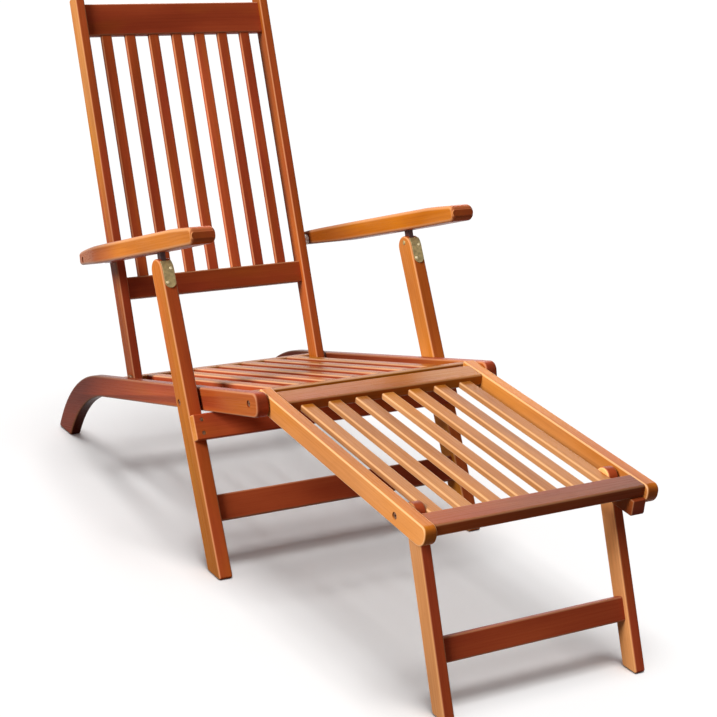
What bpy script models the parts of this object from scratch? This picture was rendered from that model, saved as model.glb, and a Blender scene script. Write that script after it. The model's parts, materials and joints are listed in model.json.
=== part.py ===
# Folding deck chair with a hinged footrest, in metres with +Z up.
# Left is -X and the footrest points to -Y.
import math

import bmesh
import bpy

for old in list(bpy.data.objects):
    bpy.data.objects.remove(old, do_unlink=True)

# Overall placing: the side view is drawn with y = 0 at the front legs' feet
Y_MID = 0.13973
GAP = 0.0003

# Angles of the side view
SEAT_SLOPE = math.radians(14.44)
BACK_LEAN = math.radians(66.5)
LEG_LEAN = math.radians(61.99)
ARM_SLOPE = math.radians(17.46)
FOOT_SLOPE = math.radians(5.43)
FOOT_LEG_LEAN = math.radians(69.3)

# Distances from the middle plane to each layer of timber
SEAT_IN, SEAT_OUT = 0.2250, 0.2490
LEG_IN, LEG_OUT = 0.2543, 0.2813
STILE_IN, STILE_OUT = 0.2005, 0.2200
RAIL_IN, RAIL_OUT = 0.1999, 0.2230
FLEG_IN, FLEG_OUT = 0.1755, 0.1955
ARM_WIDTH = 0.0490
ARM_X_REAR, ARM_X_FRONT = 0.2515, 0.2703
ARM_CRANK = 0.1300

# Side view anchor points (y, z)
SEAT_TOP = (0.0, 0.3520)
BACK_FRONT = (0.5701, 0.2910)
ARM_UNDER = (0.2910, 0.5392)
LEG_FOOT = (0.0, 0.0)
FOOT_LEG_FOOT = (-0.6081, 0.0)

# Four-bar linkage: seat, back, arm and leg make a parallelogram
PIVOT_BACK = (0.5480, 0.2040)
PIVOT_LEG = (0.1845, 0.2785)
LINK = (0.1095, 0.2303)
PIVOT_ARM = (PIVOT_BACK[0] + LINK[0], PIVOT_BACK[1] + LINK[1])
PIVOT_TONGUE = (PIVOT_LEG[0] + LINK[0], PIVOT_LEG[1] + LINK[1])
PIVOT_FOOTREST = (-0.0295, 0.3395)
FOOT_LEG_AT = 0.4481

# Timber sections
SEAT_RAIL_H = 0.0430
STILE_DEPTH = 0.0364
LEG_DEPTH = 0.0462
FOOT_RAIL_TOP, FOOT_RAIL_BOTTOM = 0.0195, -0.0175
FLEG_DEPTH = 0.0341
EASE = 0.0025
SLATS = 7

# Hardware
PIN_R = 0.0030
BOLT_R = 0.0035
HEAD_R = 0.0060
COLLAR_R = 0.0110


def at(origin, angle, s, n):
    """Side view point s along a direction from origin and n to its left."""
    c = math.cos(angle)
    d = math.sin(angle)
    return (origin[0] + s * c - n * d, origin[1] + s * d + n * c)


def seat(s, n):
    return at(SEAT_TOP, -SEAT_SLOPE, s, n)


def back(s, n):
    return at(BACK_FRONT, BACK_LEAN, s, n)


def leg(s, n):
    return at(LEG_FOOT, LEG_LEAN, s, n)


def arm(s, n):
    return at(ARM_UNDER, -ARM_SLOPE, -s, n)


def foot(s, n):
    return at(PIVOT_FOOTREST, FOOT_SLOPE, -s, n)


def fleg(s, n):
    return at(FOOT_LEG_FOOT, FOOT_LEG_LEAN, s, n)


def local(origin, angle, point):
    """The (s, n) of a side view point in a frame."""
    y = point[0] - origin[0]
    z = point[1] - origin[1]
    c = math.cos(angle)
    d = math.sin(angle)
    return (y * c + z * d, -y * d + z * c)


PIVOT_FOOT_LEG = foot(FOOT_LEG_AT, 0.0)


def fillet(corners, radii, steps=4):
    """Polygon with each corner replaced by an arc of its radius."""
    out = []
    count = len(corners)
    for i in range(count):
        p = corners[i]
        a = corners[i - 1]
        b = corners[(i + 1) % count]
        r = radii[i]
        if r <= 0.0:
            out.append(p)
            continue
        ua = math.atan2(a[1] - p[1], a[0] - p[0])
        ub = math.atan2(b[1] - p[1], b[0] - p[0])
        turn = (ub - ua + math.pi) % (2 * math.pi) - math.pi
        half = abs(turn) / 2
        reach = r / math.tan(half)
        mid = ua + turn / 2
        far = r / math.sin(half)
        centre = (p[0] + far * math.cos(mid), p[1] + far * math.sin(mid))
        start = (p[0] + reach * math.cos(ua), p[1] + reach * math.sin(ua))
        end = (p[0] + reach * math.cos(ub), p[1] + reach * math.sin(ub))
        t0 = math.atan2(start[1] - centre[1], start[0] - centre[0])
        t1 = math.atan2(end[1] - centre[1], end[0] - centre[0])
        sweep = (t1 - t0 + math.pi) % (2 * math.pi) - math.pi
        for k in range(steps + 1):
            t = t0 + sweep * k / steps
            out.append((centre[0] + r * math.cos(t), centre[1] + r * math.sin(t)))
    return out


def area(points):
    total = 0.0
    for i, p in enumerate(points):
        q = points[(i + 1) % len(points)]
        total += p[0] * q[1] - q[0] * p[1]
    return total / 2


def inset(points, amount):
    """Counter-clockwise polygon with every side moved in by amount."""
    out = []
    count = len(points)
    for i in range(count):
        a = points[i - 1]
        p = points[i]
        b = points[(i + 1) % count]
        la = math.hypot(p[0] - a[0], p[1] - a[1])
        lb = math.hypot(b[0] - p[0], b[1] - p[1])
        na = (-(p[1] - a[1]) / la, (p[0] - a[0]) / la)
        nb = (-(b[1] - p[1]) / lb, (b[0] - p[0]) / lb)
        k = amount / (1 + na[0] * nb[0] + na[1] * nb[1])
        out.append((p[0] + k * (na[0] + nb[0]), p[1] + k * (na[1] + nb[1])))
    return out


# Materials
def material(name, colour, roughness, metallic):
    mat = bpy.data.materials.new(name)
    mat.use_nodes = True
    shader = mat.node_tree.nodes["Principled BSDF"]
    shader.inputs["Base Color"].default_value = (*colour, 1.0)
    shader.inputs["Roughness"].default_value = roughness
    shader.inputs["Metallic"].default_value = metallic
    return mat


WOOD = material("varnished_hardwood", (0.42, 0.16, 0.05), 0.35, 0.0)
IRON = material("blackened_steel", (0.05, 0.04, 0.04), 0.45, 0.6)
BRASS = material("brass", (0.55, 0.42, 0.18), 0.35, 1.0)
STEEL = material("zinc_steel", (0.55, 0.55, 0.55), 0.4, 1.0)

# Bodies: one empty on each joint axis
EMPTIES = {}


def body(name, pivot, parent=None):
    empty = bpy.data.objects.new(name, None)
    empty.empty_display_size = 0.05
    bpy.context.scene.collection.objects.link(empty)
    here = (0.0, pivot[0] - Y_MID, pivot[1])
    base = (0.0, 0.0, 0.0)
    if parent:
        empty.parent = EMPTIES[parent][0]
        base = EMPTIES[parent][1]
    empty.location = [h - b for h, b in zip(here, base)]
    EMPTIES[name] = (empty, here)


body("seat_body", (Y_MID, 0.0))
body("back_body", PIVOT_BACK, "seat_body")
body("front_legs_body", PIVOT_LEG, "seat_body")
body("arm_left_body", PIVOT_ARM, "back_body")
body("arm_right_body", PIVOT_ARM, "back_body")
body("footrest_body", PIVOT_FOOTREST, "seat_body")
body("footrest_legs_body", PIVOT_FOOT_LEG, "footrest_body")


def place(bm, name, parent, mat, smooth=False):
    """Mesh object from side view coordinates, with its origin on its body's axis."""
    here = EMPTIES[parent][1]
    for v in bm.verts:
        v.co.x -= here[0]
        v.co.y -= Y_MID + here[1]
        v.co.z -= here[2]
    bmesh.ops.recalc_face_normals(bm, faces=bm.faces)
    mesh = bpy.data.meshes.new(name)
    bm.to_mesh(mesh)
    bm.free()
    mesh.materials.append(mat)
    if smooth:
        mesh.shade_smooth()
        mesh.set_sharp_from_angle(angle=math.radians(35))
    obj = bpy.data.objects.new(name, mesh)
    bpy.context.scene.collection.objects.link(obj)
    obj.parent = EMPTIES[parent][0]
    return obj


def loft(bm, rings):
    """Closed skin over rings of equal length, with flat ends."""
    made = [[bm.verts.new(p) for p in ring] for ring in rings]
    count = len(made[0])
    for a, b in zip(made, made[1:]):
        for i in range(count):
            j = (i + 1) % count
            bm.faces.new((a[i], a[j], b[j], b[i]))
    bm.faces.new(list(reversed(made[0])))
    bm.faces.new(made[-1])


def plank(name, parent, outline, x0, x1, ease=EASE, mat=WOOD):
    """Side view outline cut from a board between two x planes, long edges eased."""
    if area(outline) < 0:
        outline = outline[::-1]
    low = min(x0, x1)
    high = max(x0, x1)
    cuts = [(low, 0.0), (high, 0.0)]
    if ease > 0.0:
        part = ease * (1 - math.sqrt(0.5))
        cuts = [(low, ease), (low + part, part), (low + ease, 0.0)]
        cuts += [(high - ease, 0.0), (high - part, part), (high, ease)]
    bm = bmesh.new()
    rings = []
    for x, deep in cuts:
        ring = inset(outline, deep) if deep else outline
        rings.append([(x, p[0], p[1]) for p in ring])
    loft(bm, rings)
    return place(bm, name, parent, mat)


def turned(bm, centre, profile, steps):
    """Round solid about an axis along x from (x, radius) pairs."""
    ends = [bm.verts.new((profile[0][0], *centre)), bm.verts.new((profile[-1][0], *centre))]
    rings = []
    for x, r in profile:
        ring = []
        for k in range(steps):
            t = 2 * math.pi * k / steps
            ring.append(bm.verts.new((x, centre[0] + r * math.cos(t), centre[1] + r * math.sin(t))))
        rings.append(ring)
    for k in range(steps):
        j = (k + 1) % steps
        bm.faces.new((ends[0], rings[0][j], rings[0][k]))
        bm.faces.new((ends[1], rings[-1][k], rings[-1][j]))
        for a, b in zip(rings, rings[1:]):
            bm.faces.new((a[k], a[j], b[j], b[k]))


def hardware(name, parent, centre, profile, side, mat, steps=20):
    """Turned metal piece whose profile runs outwards from the middle plane."""
    bm = bmesh.new()
    turned(bm, centre, [(side * x, r) for x, r in profile], steps)
    return place(bm, name, parent, mat, smooth=True)


def cut(obj, shapes, parent):
    """Takes turned shapes out of a piece: each is (centre, profile, side)."""
    bm = bmesh.new()
    for centre, profile, side in shapes:
        turned(bm, centre, [(side * x, r) for x, r in profile], 20)
    cutter = place(bm, obj.name + "_bores", parent, STEEL)
    knife(obj, cutter, "DIFFERENCE")


def knife(obj, cutter, operation):
    cutter.hide_render = True
    cutter.display_type = "WIRE"
    boolean = obj.modifiers.new(cutter.name, "BOOLEAN")
    boolean.operation = operation
    boolean.solver = "EXACT"
    boolean.object = cutter


def spread(count, pitch):
    return [(i - (count - 1) / 2) * pitch for i in range(count)]


SIDES = (("left", -1), ("right", 1))

# Seat rails: a straight bar that widens and bends down into the rear leg
FRONT_S = local(SEAT_TOP, -SEAT_SLOPE, PIVOT_FOOTREST)[0] - 0.0320
REAR_FOOT_OUT = (0.8849, 0.0)
REAR_FOOT_IN = (0.8175, 0.0)
REAR_OUT_LEAN = math.radians(62.9)
REAR_IN_LEAN = math.radians(60.5)


def bend(n, foot_point, lean):
    """Where the rail's edge at depth n meets the rear leg's edge."""
    y0, z0 = seat(0.0, n)
    slope = math.tan(SEAT_SLOPE)
    fall = math.tan(lean)
    y = (fall * foot_point[0] - z0 - slope * y0) / (fall - slope)
    return (y, fall * (foot_point[0] - y))


rail_corners = [
    seat(FRONT_S, -SEAT_RAIL_H),
    bend(-SEAT_RAIL_H, REAR_FOOT_IN, REAR_IN_LEAN),
    REAR_FOOT_IN,
    REAR_FOOT_OUT,
    bend(0.0, REAR_FOOT_OUT, REAR_OUT_LEAN),
    seat(FRONT_S, 0.0),
]
seat_outline = fillet(rail_corners, [0.017, 0.285, 0.005, 0.005, 0.315, 0.017], 9)

for side, sign in SIDES:
    rail = plank("seat_rail_" + side, "seat_body", seat_outline, sign * SEAT_IN, sign * SEAT_OUT, 0.004)
    bores = [
        (PIVOT_BACK, [(SEAT_IN - 0.01, PIN_R + GAP), (SEAT_OUT - 0.006, PIN_R + GAP)], sign),
        (PIVOT_LEG, [(SEAT_IN + 0.004, BOLT_R + GAP), (SEAT_OUT + 0.01, BOLT_R + GAP)], sign),
        (
            PIVOT_FOOTREST,
            [
                (SEAT_IN - 0.01, BOLT_R + GAP),
                (SEAT_OUT - 0.0053, BOLT_R + GAP),
                (SEAT_OUT - 0.0053, HEAD_R + GAP),
                (SEAT_OUT + 0.01, HEAD_R + GAP),
            ],
            sign,
        ),
    ]
    cut(rail, bores, "seat_body")

# Seat cross rails and slats
SEAT_DROP = 0.0025
CROSS_FRONT = local(SEAT_TOP, -SEAT_SLOPE, PIVOT_FOOTREST)[0] + 0.026
CROSS_REAR = local(SEAT_TOP, -SEAT_SLOPE, PIVOT_BACK)[0] + 0.026
CROSS_W = 0.028


def slab(frame, s0, s1, n0, n1, radius=0.0, steps=3):
    corners = [frame(s0, n0), frame(s1, n0), frame(s1, n1), frame(s0, n1)]
    return fillet(corners, [radius] * 4, steps)


for name, s0 in (("seat_front_cross_rail", CROSS_FRONT), ("seat_rear_cross_rail", CROSS_REAR)):
    bar = slab(seat, s0, s0 + CROSS_W, -SEAT_DROP - 0.026, -SEAT_DROP, 0.003)
    plank(name, "seat_body", bar, -SEAT_IN + GAP, SEAT_IN - GAP, 0.0)

SEAT_SLAT_W = 0.027
for i, x in enumerate(spread(SLATS, 0.054)):
    strip = slab(seat, CROSS_FRONT + CROSS_W + GAP, CROSS_REAR - GAP, -SEAT_DROP - 0.015, -SEAT_DROP)
    plank(f"seat_slat_{i + 1}", "seat_body", strip, x - SEAT_SLAT_W / 2, x + SEAT_SLAT_W / 2)

# Back frame
BACK_FOOT = local(BACK_FRONT, BACK_LEAN, PIVOT_BACK)[0]
BACK_TOP = 0.7077
stile_corners = [
    back(BACK_FOOT - 0.0195, 0.0),
    back(BACK_TOP, 0.0),
    back(BACK_TOP, -STILE_DEPTH),
    back(BACK_FOOT - 0.0195, -STILE_DEPTH),
]
stile_outline = fillet(stile_corners, [0.0175, 0.006, 0.006, 0.0175], 6)
for side, sign in SIDES:
    stile = plank("back_stile_" + side, "back_body", stile_outline, sign * STILE_IN, sign * STILE_OUT)
    bores = [
        (PIVOT_BACK, [(STILE_IN + 0.004, PIN_R + GAP), (STILE_OUT + 0.01, PIN_R + GAP)], sign),
        (PIVOT_ARM, [(STILE_IN + 0.004, BOLT_R + GAP), (STILE_OUT + 0.01, BOLT_R + GAP)], sign),
    ]
    cut(stile, bores, "back_body")

RAIL_DEEP, RAIL_THICK = 0.0105, 0.018
BACK_RAILS = {"back_lower_rail": (0.0755, 0.1207), "back_top_rail": (0.6254, 0.6920)}
for name, (s0, s1) in BACK_RAILS.items():
    bar = slab(back, s0, s1, -RAIL_DEEP - RAIL_THICK, -RAIL_DEEP, 0.0035)
    plank(name, "back_body", bar, -STILE_IN + GAP, STILE_IN - GAP, 0.0)

BACK_SLAT_W = 0.0232
for i, x in enumerate(spread(SLATS, 0.0529)):
    s0 = BACK_RAILS["back_lower_rail"][1] + GAP
    s1 = BACK_RAILS["back_top_rail"][0] - GAP
    strip = slab(back, s0, s1, -RAIL_DEEP - 0.0124, -RAIL_DEEP - 0.0024)
    plank(f"back_slat_{i + 1}", "back_body", strip, x - BACK_SLAT_W / 2, x + BACK_SLAT_W / 2)

# Front leg frame
TONGUE_S = local(LEG_FOOT, LEG_LEAN, PIVOT_TONGUE)[0]
LEG_TOP = TONGUE_S + 0.0135
LEG_MID_X = (LEG_IN + LEG_OUT) / 2
SLOT_W = 0.0112
leg_corners = [
    (0.0, 0.0),
    (LEG_DEPTH / math.sin(LEG_LEAN), 0.0),
    leg(LEG_TOP, -LEG_DEPTH),
    leg(LEG_TOP, 0.0),
]
leg_outline = fillet(leg_corners, [0.004, 0.004, 0.0205, 0.0250], 6)
for side, sign in SIDES:
    piece = plank("front_leg_" + side, "front_legs_body", leg_outline, sign * LEG_IN, sign * LEG_OUT, 0.003)
    bores = [
        (
            PIVOT_LEG,
            [
                (LEG_IN - 0.01, BOLT_R + GAP),
                (LEG_OUT - 0.0053, BOLT_R + GAP),
                (LEG_OUT - 0.0053, HEAD_R + GAP),
                (LEG_OUT + 0.01, HEAD_R + GAP),
            ],
            sign,
        ),
        (PIVOT_TONGUE, [(LEG_IN - 0.01, PIN_R + GAP), (LEG_OUT - 0.0027, PIN_R + GAP)], sign),
    ]
    cut(piece, bores, "front_legs_body")
    slot = slab(leg, TONGUE_S - 0.012, LEG_TOP + 0.02, -LEG_DEPTH - 0.02, 0.02)
    middle = sign * LEG_MID_X
    saw = plank(
        piece.name + "_slot",
        "front_legs_body",
        slot,
        middle - SLOT_W / 2,
        middle + SLOT_W / 2,
        0.0,
    )
    knife(piece, saw, "DIFFERENCE")

UPPER_BAR = (0.2537, 0.3014)
LOWER_BAR = (0.1060, 0.1544)
bar = slab(leg, UPPER_BAR[0], UPPER_BAR[1], GAP, 0.0175, 0.003)
plank("front_leg_crossbar", "front_legs_body", bar, -LEG_OUT, LEG_OUT, 0.002)
bar = slab(leg, LOWER_BAR[0], LOWER_BAR[1], -0.030, -0.010, 0.0035)
plank("front_leg_stretcher", "front_legs_body", bar, -LEG_IN + GAP, LEG_IN - GAP, 0.0)

# Brass strap on each leg top, following the leg's front face and rounded corner
STRAP_T = 0.0016
STRAP_LOW = 0.5400
STRAP_W = 0.0220
CORNER_R = 0.0250
BEND_S = LEG_TOP - CORNER_R
inner = [leg(STRAP_LOW - 0.005, GAP)]
outer = [leg(STRAP_LOW - 0.005, GAP + STRAP_T)]
for k in range(5):
    t = math.radians(38) * k / 4
    for row, r in ((inner, CORNER_R + GAP), (outer, CORNER_R + GAP + STRAP_T)):
        row.append(leg(BEND_S + r * math.sin(t), -CORNER_R + r * math.cos(t)))
strap_outline = inner + outer[::-1]

for side, sign in SIDES:
    middle = sign * LEG_MID_X
    half = STRAP_W / 2
    strap = plank(
        "hinge_strap_" + side,
        "front_legs_body",
        strap_outline,
        middle - half - 0.002,
        middle + half + 0.002,
        0.0,
        BRASS,
    )
    shape = [(middle + half, LEG_TOP + 0.01), (middle - half, LEG_TOP + 0.01)]
    for k in range(11):
        t = math.pi * k / 10
        shape.append((middle - half * math.cos(t), STRAP_LOW + half - half * math.sin(t)))
    bm = bmesh.new()
    loft(bm, [[(x, *leg(s, n)) for x, s in shape] for n in (-0.03, 0.01)])
    die = place(bm, strap.name + "_shape", "front_legs_body", BRASS)
    knife(strap, die, "INTERSECT")
    pin = [
        (LEG_IN - 0.0015, 0.0030),
        (LEG_IN - 0.0015 + 0.0004, 0.0042),
        (LEG_IN - GAP, 0.0045),
        (LEG_IN - GAP, PIN_R),
        (LEG_OUT - 0.0038, PIN_R),
        (LEG_OUT - 0.0030, PIN_R - 0.0008),
    ]
    hardware("hinge_pin_" + side, "front_legs_body", PIVOT_TONGUE, pin, sign, BRASS)

# Arms: lofted bars, crowned on top, bellied below, rounded at both ends, cranked in plan
ARM_REAR = -local(ARM_UNDER, -ARM_SLOPE, PIVOT_ARM)[0] - 0.0360
ARM_FRONT = 0.1870
ARM_LONG = ARM_FRONT - ARM_REAR


def arm_centre(u):
    """Distance of the arm's middle line from the middle plane: cranked inwards at the rear."""
    soft = 0.008
    past = (u - ARM_CRANK) / soft
    bent = ARM_CRANK + soft * (past - math.log1p(math.exp(past)))
    return ARM_X_REAR + (ARM_X_FRONT - ARM_X_REAR) * bent / ARM_CRANK


def ramp(t):
    """Soft step from 0 to 1."""
    t = min(1.0, max(0.0, t))
    return t * t * (3 - 2 * t)


def arm_top(u):
    """Crown of the arm above its line, u from the rear end: rises at the rear, dips at the front."""
    return 0.0323 - 0.0055 * math.exp(-u / 0.055) - 0.0040 * ramp((u - 0.50) / 0.12)


def arm_low(u):
    """Underside of the arm: falls below its line in the middle."""
    return -0.0042 * ramp(u / 0.17) + 0.0010 * ramp((u - 0.46) / 0.14)


def arm_rounding(u, length, floor):
    """Share of the half section left at a distance u from a rounded end."""
    if u >= length:
        return 1.0
    k = 1 - u / length
    return max(floor, math.sqrt(max(0.0, 1 - k * k)))


def arm_ring(u, sign):
    top = arm_top(u)
    low = arm_low(u)
    end = min(arm_rounding(u, 0.012, 0.30), arm_rounding(ARM_LONG - u, 0.014, 0.36))
    plan = min(arm_rounding(u, 0.010, 0.78), arm_rounding(ARM_LONG - u, 0.004, 0.92))
    middle = (top + low) / 2
    half = (top - low) / 2 * end
    wide = ARM_WIDTH / 2 * plan
    shift = arm_centre(u)
    r = min(0.008, half * 0.75, wide * 0.5)
    box = [(-wide, -half), (wide, -half), (wide, half * 0.90), (0.0, half), (-wide, half * 0.90)]
    ring = fillet(box, [r * 0.7, r * 0.7, r, 0.0, r], 3)
    out = []
    for x, n in ring:
        y, z = arm(ARM_REAR + u, middle + n)
        out.append((sign * (shift + x), y, z))
    return out


stations = [0.0, 0.0010, 0.0030, 0.0060, 0.0100]
stations += [0.020, 0.045, 0.075, 0.100, 0.115, 0.125, 0.135, 0.145, 0.160]
stations += [0.160 + (ARM_LONG - 0.174) * k / 8 for k in range(1, 9)]
stations += [ARM_LONG - 0.009, ARM_LONG - 0.005, ARM_LONG - 0.0025, ARM_LONG - 0.001, ARM_LONG]
ARM_BOLT = -local(ARM_UNDER, -ARM_SLOPE, PIVOT_ARM)[0] - ARM_REAR
ARM_IN_REAR = arm_centre(ARM_BOLT) - ARM_WIDTH / 2 + 0.0019
ARM_OUT_REAR = arm_centre(ARM_BOLT) + ARM_WIDTH / 2
for side, sign in SIDES:
    bm = bmesh.new()
    loft(bm, [arm_ring(u, sign) for u in stations])
    piece = place(bm, "armrest_" + side, "arm_" + side + "_body", WOOD, smooth=True)
    bores = [
        (
            PIVOT_ARM,
            [
                (ARM_IN_REAR - 0.02, COLLAR_R + 0.001),
                (ARM_IN_REAR, COLLAR_R + 0.001),
                (ARM_IN_REAR, BOLT_R + GAP),
                (ARM_OUT_REAR - 0.006, BOLT_R + GAP),
                (ARM_OUT_REAR - 0.006, HEAD_R + GAP),
                (ARM_OUT_REAR + 0.02, HEAD_R + GAP),
            ],
            sign,
        )
    ]
    cut(piece, bores, "arm_" + side + "_body")

# Arm brackets: a flat tongue let into the arm's underside that drops into the leg's slot.
# The underside is relieved round it for the leg's head when the chair is folded.
TONGUE_T = 0.0100
TONGUE_W = 0.016
TONGUE_TOP = 0.0120
RELIEF = -0.0030
for side, sign in SIDES:
    parent = "arm_" + side + "_body"
    s_pin, n_pin = local(ARM_UNDER, -ARM_SLOPE, PIVOT_TONGUE)
    s_pin = -s_pin
    middle = sign * LEG_MID_X
    relief = slab(arm, s_pin - 0.036, s_pin + 0.016, -0.030, RELIEF)
    wide = (LEG_OUT - LEG_IN) / 2 + 0.0025
    plane = plank("armrest_" + side + "_relief", parent, relief, middle - wide, middle + wide, 0.0)
    knife(bpy.data.objects["armrest_" + side], plane, "DIFFERENCE")
    reach = TONGUE_W / 2 + GAP
    mortise = slab(arm, s_pin - reach, s_pin + reach, RELIEF - 0.004, TONGUE_TOP + GAP)
    wide = TONGUE_T / 2 + GAP
    chisel = plank("armrest_" + side + "_mortise", parent, mortise, middle - wide, middle + wide, 0.0)
    knife(bpy.data.objects["armrest_" + side], chisel, "DIFFERENCE")
    ring = []
    for k in range(9):
        t = math.pi * k / 8
        ring.append(arm(s_pin - TONGUE_W / 2 * math.cos(t), n_pin - TONGUE_W / 2 * math.sin(t)))
    ring += [arm(s_pin + TONGUE_W / 2, TONGUE_TOP), arm(s_pin - TONGUE_W / 2, TONGUE_TOP)]
    tongue = plank(
        "arm_bracket_" + side,
        parent,
        ring,
        middle - TONGUE_T / 2,
        middle + TONGUE_T / 2,
        0.0,
        IRON,
    )
    eye = [(PIVOT_TONGUE, [(LEG_IN, PIN_R + GAP), (LEG_OUT, PIN_R + GAP)], sign)]
    cut(tongue, eye, parent)

# Footrest frame
REAR_BOARD = (0.0045, 0.0520)
FRONT_BOARD = (0.4835, 0.5260)
RAIL_END = 0.5345
BOARD_DROP = 0.0010
BOARD_T = 0.0205
foot_corners = [
    foot(-0.0140, FOOT_RAIL_TOP),
    foot(RAIL_END, FOOT_RAIL_TOP),
    foot(RAIL_END, FOOT_RAIL_BOTTOM),
    foot(-0.0140, FOOT_RAIL_BOTTOM),
]
foot_outline = fillet(foot_corners, [0.004, 0.012, 0.022, 0.015], 5)
for side, sign in SIDES:
    piece = plank("footrest_rail_" + side, "footrest_body", foot_outline, sign * RAIL_IN, sign * RAIL_OUT)
    bores = [
        (PIVOT_FOOTREST, [(RAIL_IN + 0.004, BOLT_R + GAP), (RAIL_OUT + 0.01, BOLT_R + GAP)], sign),
        (
            PIVOT_FOOT_LEG,
            [
                (RAIL_IN - 0.01, BOLT_R + GAP),
                (RAIL_OUT - 0.0053, BOLT_R + GAP),
                (RAIL_OUT - 0.0053, HEAD_R + GAP),
                (RAIL_OUT + 0.01, HEAD_R + GAP),
            ],
            sign,
        ),
    ]
    cut(piece, bores, "footrest_body")

for name, (s0, s1) in (("footrest_rear_board", REAR_BOARD), ("footrest_front_board", FRONT_BOARD)):
    top = FOOT_RAIL_TOP - BOARD_DROP
    board = slab(foot, s0, s1, top - BOARD_T, top, 0.003)
    plank(name, "footrest_body", board, -RAIL_IN + GAP, RAIL_IN - GAP, 0.0)

FOOT_SLAT_W = 0.0249
SLAT_TOP = FOOT_RAIL_TOP - BOARD_DROP - 0.0085
SLAT_T = 0.012
for i, x in enumerate(spread(SLATS, 0.0542)):
    strip = slab(foot, REAR_BOARD[1] + GAP, FRONT_BOARD[0] - GAP, SLAT_TOP - SLAT_T, SLAT_TOP)
    plank(f"footrest_slat_{i + 1}", "footrest_body", strip, x - FOOT_SLAT_W / 2, x + FOOT_SLAT_W / 2)

# Stop block in front of the right leg, its rear face laid parallel to that leg
BLOCK_LOW = -0.0300
BLOCK_TOP = FOOT_RAIL_TOP - BOARD_DROP - BOARD_T - GAP
FLEG_TILT = FOOT_LEG_LEAN - FOOT_SLOPE
block_rear = FLEG_DEPTH / 2 + 2 * GAP


def block_s(n):
    return FOOT_LEG_AT + (block_rear - n * math.cos(FLEG_TILT)) / math.sin(FLEG_TILT)


block_corners = [
    foot(block_s(BLOCK_TOP), BLOCK_TOP),
    foot(block_s(BLOCK_LOW), BLOCK_LOW),
    foot(0.5340, BLOCK_LOW),
    foot(0.5340, BLOCK_TOP),
]
block_outline = fillet(block_corners, [0.0, 0.0, 0.004, 0.0], 3)
plank("footrest_stop_block", "footrest_body", block_outline, 0.1735, RAIL_IN - GAP, 0.002)

# Footrest legs
FLEG_S = local(FOOT_LEG_FOOT, FOOT_LEG_LEAN, PIVOT_FOOT_LEG)
FLEG_BACK = FLEG_S[1] - FLEG_DEPTH / 2
FLEG_FRONT = FLEG_S[1] + FLEG_DEPTH / 2


def floor_s(n):
    """Where a line at depth n along the footrest leg meets the floor."""
    return -n * math.cos(FOOT_LEG_LEAN) / math.sin(FOOT_LEG_LEAN)


fleg_corners = [
    fleg(floor_s(FLEG_FRONT), FLEG_FRONT),
    fleg(floor_s(FLEG_BACK), FLEG_BACK),
    fleg(FLEG_S[0] + FLEG_DEPTH / 2, FLEG_BACK),
    fleg(FLEG_S[0] + FLEG_DEPTH / 2, FLEG_FRONT),
]
fleg_outline = fillet(fleg_corners, [0.004, 0.004, 0.0165, 0.0165], 6)
for side, sign in SIDES:
    piece = plank("footrest_leg_" + side, "footrest_legs_body", fleg_outline, sign * FLEG_IN, sign * FLEG_OUT)
    bores = [(PIVOT_FOOT_LEG, [(FLEG_IN + 0.004, BOLT_R + GAP), (FLEG_OUT + 0.01, BOLT_R + GAP)], sign)]
    cut(piece, bores, "footrest_legs_body")
mid_n = FLEG_S[1]
bar = slab(fleg, 0.0888, 0.1292, mid_n - 0.009, mid_n + 0.009, 0.0035)
plank("footrest_leg_stretcher", "footrest_legs_body", bar, -FLEG_IN + GAP, FLEG_IN - GAP, 0.0)


# Pivot bolts: head, shank and a spacer collar between the two timbers
def bolt(start, collar, head, radius=BOLT_R):
    profile = [(start, radius - 0.0008), (start + 0.0008, radius)]
    profile += [(collar[0] + GAP, radius), (collar[0] + GAP, COLLAR_R)]
    profile += [(collar[1] - GAP, COLLAR_R), (collar[1] - GAP, radius)]
    if head is None:
        end = collar[1] + 0.0175
        return profile + [(end - 0.0008, radius), (end, radius - 0.0008)]
    profile += [(head - 0.005, radius), (head - 0.005, HEAD_R), (head - 0.0021, HEAD_R)]
    return profile + [(head - 0.0015, HEAD_R - 0.0012)]


BOLTS = {
    "back_pivot_pin": ("seat_body", PIVOT_BACK, bolt(STILE_IN + 0.0045, (STILE_OUT, SEAT_IN), None, PIN_R)),
    "leg_pivot_bolt": ("seat_body", PIVOT_LEG, bolt(SEAT_IN + 0.0045, (SEAT_OUT, LEG_IN), LEG_OUT)),
    "arm_pivot_bolt": (
        "back_body",
        PIVOT_ARM,
        bolt(STILE_IN + 0.0045, (STILE_OUT, ARM_IN_REAR), ARM_OUT_REAR - 0.0007),
    ),
    "footrest_pivot_bolt": ("seat_body", PIVOT_FOOTREST, bolt(RAIL_IN + 0.0045, (RAIL_OUT, SEAT_IN), SEAT_OUT)),
    "footrest_leg_bolt": ("footrest_body", PIVOT_FOOT_LEG, bolt(FLEG_IN + 0.0045, (FLEG_OUT, RAIL_IN), RAIL_OUT)),
}
for name, (parent, centre, profile) in BOLTS.items():
    for side, sign in SIDES:
        hardware(name + "_" + side, parent, centre, profile, sign, STEEL)
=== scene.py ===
# %% [markdown]
# # A folding deck chair with a hinged footrest
#
# The chair is about sixty pieces of varnished hardwood and a handful of metal
# fittings. The measured solids arrive first as a fixed frame. Each cell after
# that lays a finished surface over one group of solids, in the same place, so
# the chair still folds exactly as its joints say.

# %% Load the measured frame
import json
import math

import bpy
import numpy as np
from mathutils import Matrix, Vector

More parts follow.
